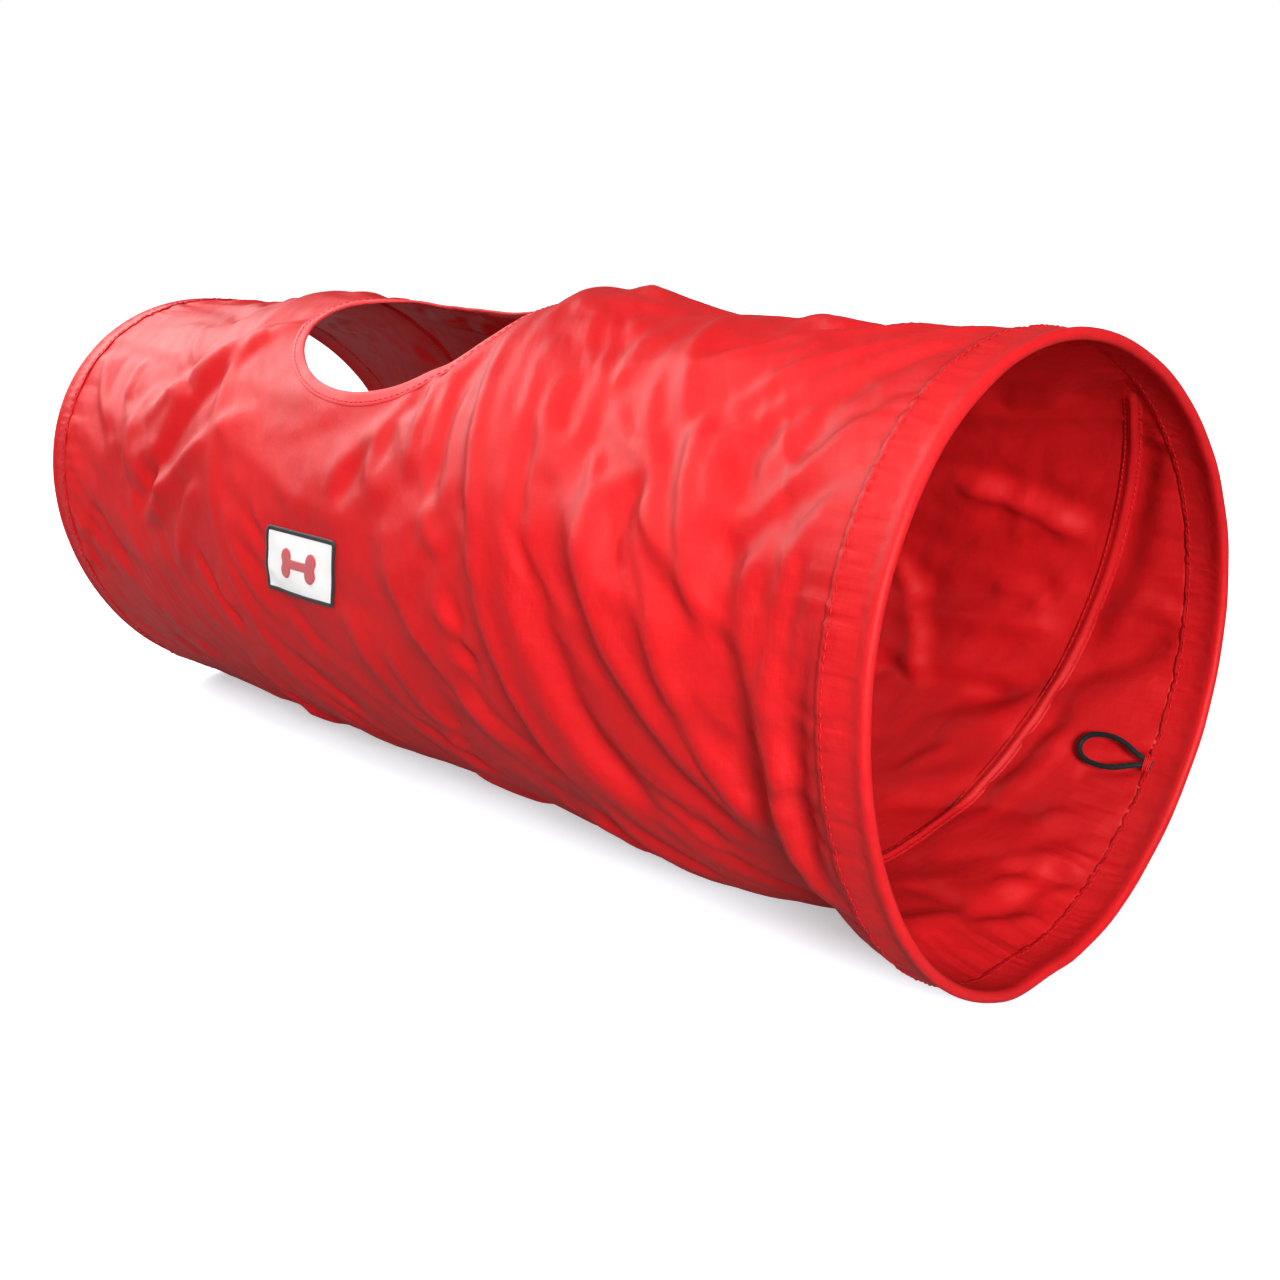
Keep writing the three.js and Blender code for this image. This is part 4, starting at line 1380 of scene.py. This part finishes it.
def woven_label(name):
    """White satin ground with fine cross ribs."""
    f = Finish(name, 0xe9e8e4, 0.5, Sheen_Weight=0.2)
    uv = f.cloth_uv()
    soil = f.noise(f.place(), 90.0, 4.0)
    weave = f.threads(uv, 0.55 * MM)
    tone = f.mix(f.between(soil, 0.1, 0.9), 0xf1f0ee, 0xd6d5d3)
    f.look(Base_Color=f.mix(f.maths("MULTIPLY", weave, 0.22), tone, 0xb9b8b8))
    f.bump(weave, 0.12 * MM, 0.8)
    f.bump(f.slubs(uv, 7 * MM, 0.4 * MM), 0.08 * MM, 0.6)
    return f


def satin_stitch(name, colour, deep):
    """Embroidery: parallel threads laid side by side, with painted shade in the grooves between them."""
    f = Finish(name, colour, 0.45, Sheen_Weight=0.3)
    split = f.node("SeparateXYZ", Vector=f.cloth_uv())
    lean = f.maths("ADD", split.outputs[0], f.maths("MULTIPLY", split.outputs[1], 0.35))
    ridge = f.maths("SINE", f.maths("MULTIPLY", lean, TURN / (0.5 * MM)))
    ridge = f.maths("MULTIPLY_ADD", ridge, 0.5, 0.5)
    # Painted shade: the deep colour lies in the grooves between the threads, where the bump sinks, and the
    # full colour lies on their crowns.
    f.look(Base_Color=f.mix(ridge, deep, colour))
    f.bump(ridge, 0.18 * MM, 0.8)
    return f


def overlock(name):
    """Dark thread wrapped closely round an edge."""
    f = Finish(name, 0x141416, 0.6, Sheen_Weight=0.1)
    fuzz = f.noise(f.place(), 900.0, 3.0)
    f.look(Base_Color=f.mix(f.between(fuzz, 0, 1), 0x08080a, 0x1c1c20))
    f.bump(fuzz, 0.1 * MM, 0.6)
    return f


def elastic(name):
    """Black braided elastic: matt textile cover with paler worn strand tops."""
    f = Finish(name, 0x101012, 0.7, Specular_IOR_Level=0.25, Sheen_Weight=0.05)
    fuzz = f.noise(f.place(), 700.0, 4.0)
    f.look(Base_Color=f.mix(f.between(fuzz, -0.1, 0.9), 0x050506, 0x17171a))
    f.bump(fuzz, 0.1 * MM, 0.7)
    return f


def moulded(name):
    """Glossy dark plastic with a faint orange-peel surface and fine scratches."""
    f = Finish(name, 0x17171a, 0.25)
    peel = f.noise(f.place(), 420.0, 2.0)
    scratch = f.noise(f.scaled(f.place(), (3000, 160, 160)), 1.0, 2.0)
    f.look(Base_Color=f.mix(f.between(peel, 0, 1), 0x121214, 0x242428),
           Roughness=f.between(scratch, 0.16, 0.38))
    f.bump(peel, 0.03 * MM, 0.5)
    f.bump(scratch, 0.02 * MM, 0.4)
    return f


# ---------------------------------------------------------------- assembly
TAFFETA_REDS = (0xcf0f17, 0xa60911, 0xe64844)     # usual, deep and pale
HEM_REDS = (0xcf1018, 0xa80a12, 0xe64c48)


def folds(*objects):
    """Soft pieces between the end rings: they ride on the middle of the tube and fold up along X."""
    for obj in objects:
        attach(obj, "section_2")
        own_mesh(obj)


def rides(body, *objects):
    for obj in objects:
        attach(obj, body)


def bays(name):
    """The three CAD nodes that one long piece is cut into."""
    return [f"{name}_{k}" for k in (1, 2, 3)]


def build_end(end, side, hem_red, sewing, steel, zinc):
    """One end of the tunnel: hem, its stitches, ring wire and ferrule."""
    seed = HEM_SEEDS[end]
    band = hem(f"{end}_hem_band", side, seed)
    outside = hem_stitches(f"{end}_hem_stitches_outside", side, True, seed)
    inside = hem_stitches(f"{end}_hem_stitches_inside", side, False, seed)
    wire = ring_wire(f"{end}_ring_wire_loop", f"{end}_ring_wire", side)
    sleeve = ferrule(f"{end}_ring_ferrule_sleeve", f"{end}_ring_ferrule")
    rides(f"{end}_end", band, outside, inside, wire, sleeve)
    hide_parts(f"{end}_hem")
    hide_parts(f"{end}_ring_wire")
    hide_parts(f"{end}_ring_ferrule")
    hem_red.paint(band, slot="red_cloth")
    sewing.paint(outside, inside, slot="sewing_thread")
    steel.paint(wire, slot="ring_wire")
    zinc.paint(sleeve, slot="ferrule")


def build_label():
    bed = LabelBed()
    patch, border, bone = label_patch(bed), label_border(bed), label_bone(bed)
    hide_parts("label_patch")
    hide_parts("label_border")
    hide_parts("label_motif")
    woven_label("white_label_weave").paint(patch, slot="label_weave")
    overlock("black_overlock_thread").paint(border, slot="label_edge")
    # 0x8c0f1c is the bone's painted groove shade.
    satin_stitch("red_satin_stitch", 0xc81a2c, 0x8c0f1c).paint(bone, slot="label_print")
    folds(patch, border, bone)


def assemble():
    sewing = thread("red_sewing_thread", 0xc40c15, 0x8a070e)
    steel = drawn_steel("spring_steel", 0xb4b7ba, 0.3)
    zinc = drawn_steel("crimped_zinc", 0x96999c, 0.42)
    hem_red = taffeta("red_hem_taffeta", *HEM_REDS)

    tube = cloth_tube()
    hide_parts(*bays("cloth_bay"))
    taffeta("red_taffeta", *TAFFETA_REDS).paint(tube, slot="red_cloth")
    folds(tube)

    build_end("front", 1, hem_red, sewing, steel, zinc)
    build_end("rear", -1, hem_red, sewing, steel, zinc)

    bound, rows = binding()
    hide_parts("peek_hole_binding")
    tape("binding_tape", 0xdd2a30, 0xa80d16).paint(bound, slot="binding_cloth")
    sewing.paint(*rows, slot="sewing_thread")
    folds(bound, *rows)

    strip, rows = spiral_strip()
    spring = spiral_spring()
    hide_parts(*bays("spiral_casing"))
    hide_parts(*bays("spiral_wire"))
    taffeta("casing_taffeta", *TAFFETA_REDS).paint(strip, slot="casing_cloth")
    steel.paint(spring, slot="spiral_wire")
    thread("casing_thread", 0xd2141e, 0xa00c14).paint(*rows, slot="sewing_thread")
    folds(strip, spring, *rows)

    build_label()

    cord = tie_loop()
    tack = loop_bartack()
    rides("tie_loop", cord)
    rides("front_end", tack)
    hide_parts("tie_loop")
    elastic("black_braided_elastic").paint(cord, slot="elastic_cord")
    sewing.paint(tack, slot="sewing_thread")

    button, crossing, winding, core = tie_button()
    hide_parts("tie_button")
    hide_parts("button_thread")
    moulded("black_button_plastic").paint(button, slot="button_plastic")
    thread("dark_red_button_thread", 0x9a1018, 0x5a080d).paint(crossing, winding, core, slot="sewing_thread")
    rides("rear_end", button, crossing, winding, core)


assemble()


# ---------------------------------------------------------------- floor, lights, camera
CAMERA_PLACE = (0.5376, -0.4370, 0.2642)
CAMERA_TURN = 0.8070
CAMERA_DOWN = 0.2687
CAMERA_LENS = 37.93              # mm on a 36 mm sensor
FLOOR_SEEN = 0xeef6ff
FLOOR_BOUNCE = 0x7c7c7e          # keeps the white floor from washing out the cloth's lower side
FLOOR_HALF = 12.0
SKY_FILL = 0.16


def seen_directly(tree):
    """1 for what the camera sees straight on, 0 for light bounced about the scene."""
    return tree.nodes.new("ShaderNodeLightPath").outputs["Is Camera Ray"]


def floor(level):
    """Pale floor that glows for the camera only: painted light, weaker near the tunnel so that its shadow
    shows lighter, and fading the floor to plain white further off.
    """
    corners = [(x * FLOOR_HALF, y * FLOOR_HALF, level) for x, y in ((-1, -1), (1, -1), (1, 1), (-1, 1))]
    plane = make_mesh("floor", corners, [(0, 1, 2, 3)], smooth=False)
    f = Finish("pale_floor", FLOOR_SEEN, 0.7, Specular_IOR_Level=0.1, Emission_Color=linear(0xffffff))
    direct = seen_directly(f.tree)
    away = f.node("VectorMath", Vector=f.place())
    away.operation = "LENGTH"
    # Painted glow: emission seen by the camera only, at 0.4 of full strength near the tunnel and rising to
    # full away from it.
    fade = f.node("MapRange", Value=away.outputs["Value"], From_Min=0.3, From_Max=0.95, To_Min=0.4)
    f.look(Base_Color=f.mix(direct, FLOOR_BOUNCE, FLOOR_SEEN),
           Emission_Strength=f.maths("MULTIPLY", fade.outputs["Result"], direct))
    plane.data.materials.append(f.material)
    plane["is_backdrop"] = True


def sky():
    """White to the camera, and a soft fill for everything else."""
    world = bpy.data.worlds.new("studio")
    world.use_nodes = True
    tree = world.node_tree
    background = tree.nodes["Background"]
    background.inputs["Color"].default_value = (1, 1, 1, 1)
    strength = tree.nodes.new("ShaderNodeMapRange")
    strength.inputs["To Min"].default_value = SKY_FILL
    tree.links.new(seen_directly(tree), strength.inputs["Value"])
    tree.links.new(strength.outputs["Result"], background.inputs["Strength"])
    bpy.context.scene.world = world


def stand(name, data, place):
    obj = bpy.data.objects.new(name, data)
    obj.location = place
    bpy.context.scene.collection.objects.link(obj)
    return obj


def lamp(kind, name, place, aim, power):
    light = bpy.data.lights.new(name, kind)
    light.energy = power
    obj = stand(name, light, place)
    obj.rotation_euler = (Vector(aim) - Vector(place)).to_track_quat("-Z", "Y").to_euler()
    return light


def softbox(name, place, aim, size, power):
    light = lamp("AREA", name, place, aim, power)
    light.shape = "DISK"
    light.size = size


def photo_camera():
    camera = bpy.data.cameras.new("photo_view")
    camera.sensor_width = 36
    camera.lens = CAMERA_LENS
    camera.clip_start = 0.01
    obj = stand("photo_view", camera, CAMERA_PLACE)
    obj.rotation_euler = (math.pi / 2 - CAMERA_DOWN, 0, CAMERA_TURN)
    bpy.context.scene.camera = obj
    bpy.context.scene.view_settings.view_transform = "Standard"


floor(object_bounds()[0][2] - 0.2 * MM)
sky()
lamp("SUN", "overhead", (0.15, -0.45, 1.0), (0, 0, 0), 1.7).angle = math.radians(30)
softbox("front", (-0.4, -1.2, 1.2), (0, 0, 0.12), 0.7, 9)
softbox("side", (-1.4, -0.25, 1.05), (0.1, 0, 0.15), 1.2, 24)
softbox("mouth", (1.4, -0.8, 0.5), (0.2, 0, 0.05), 0.5, 37)
photo_camera()
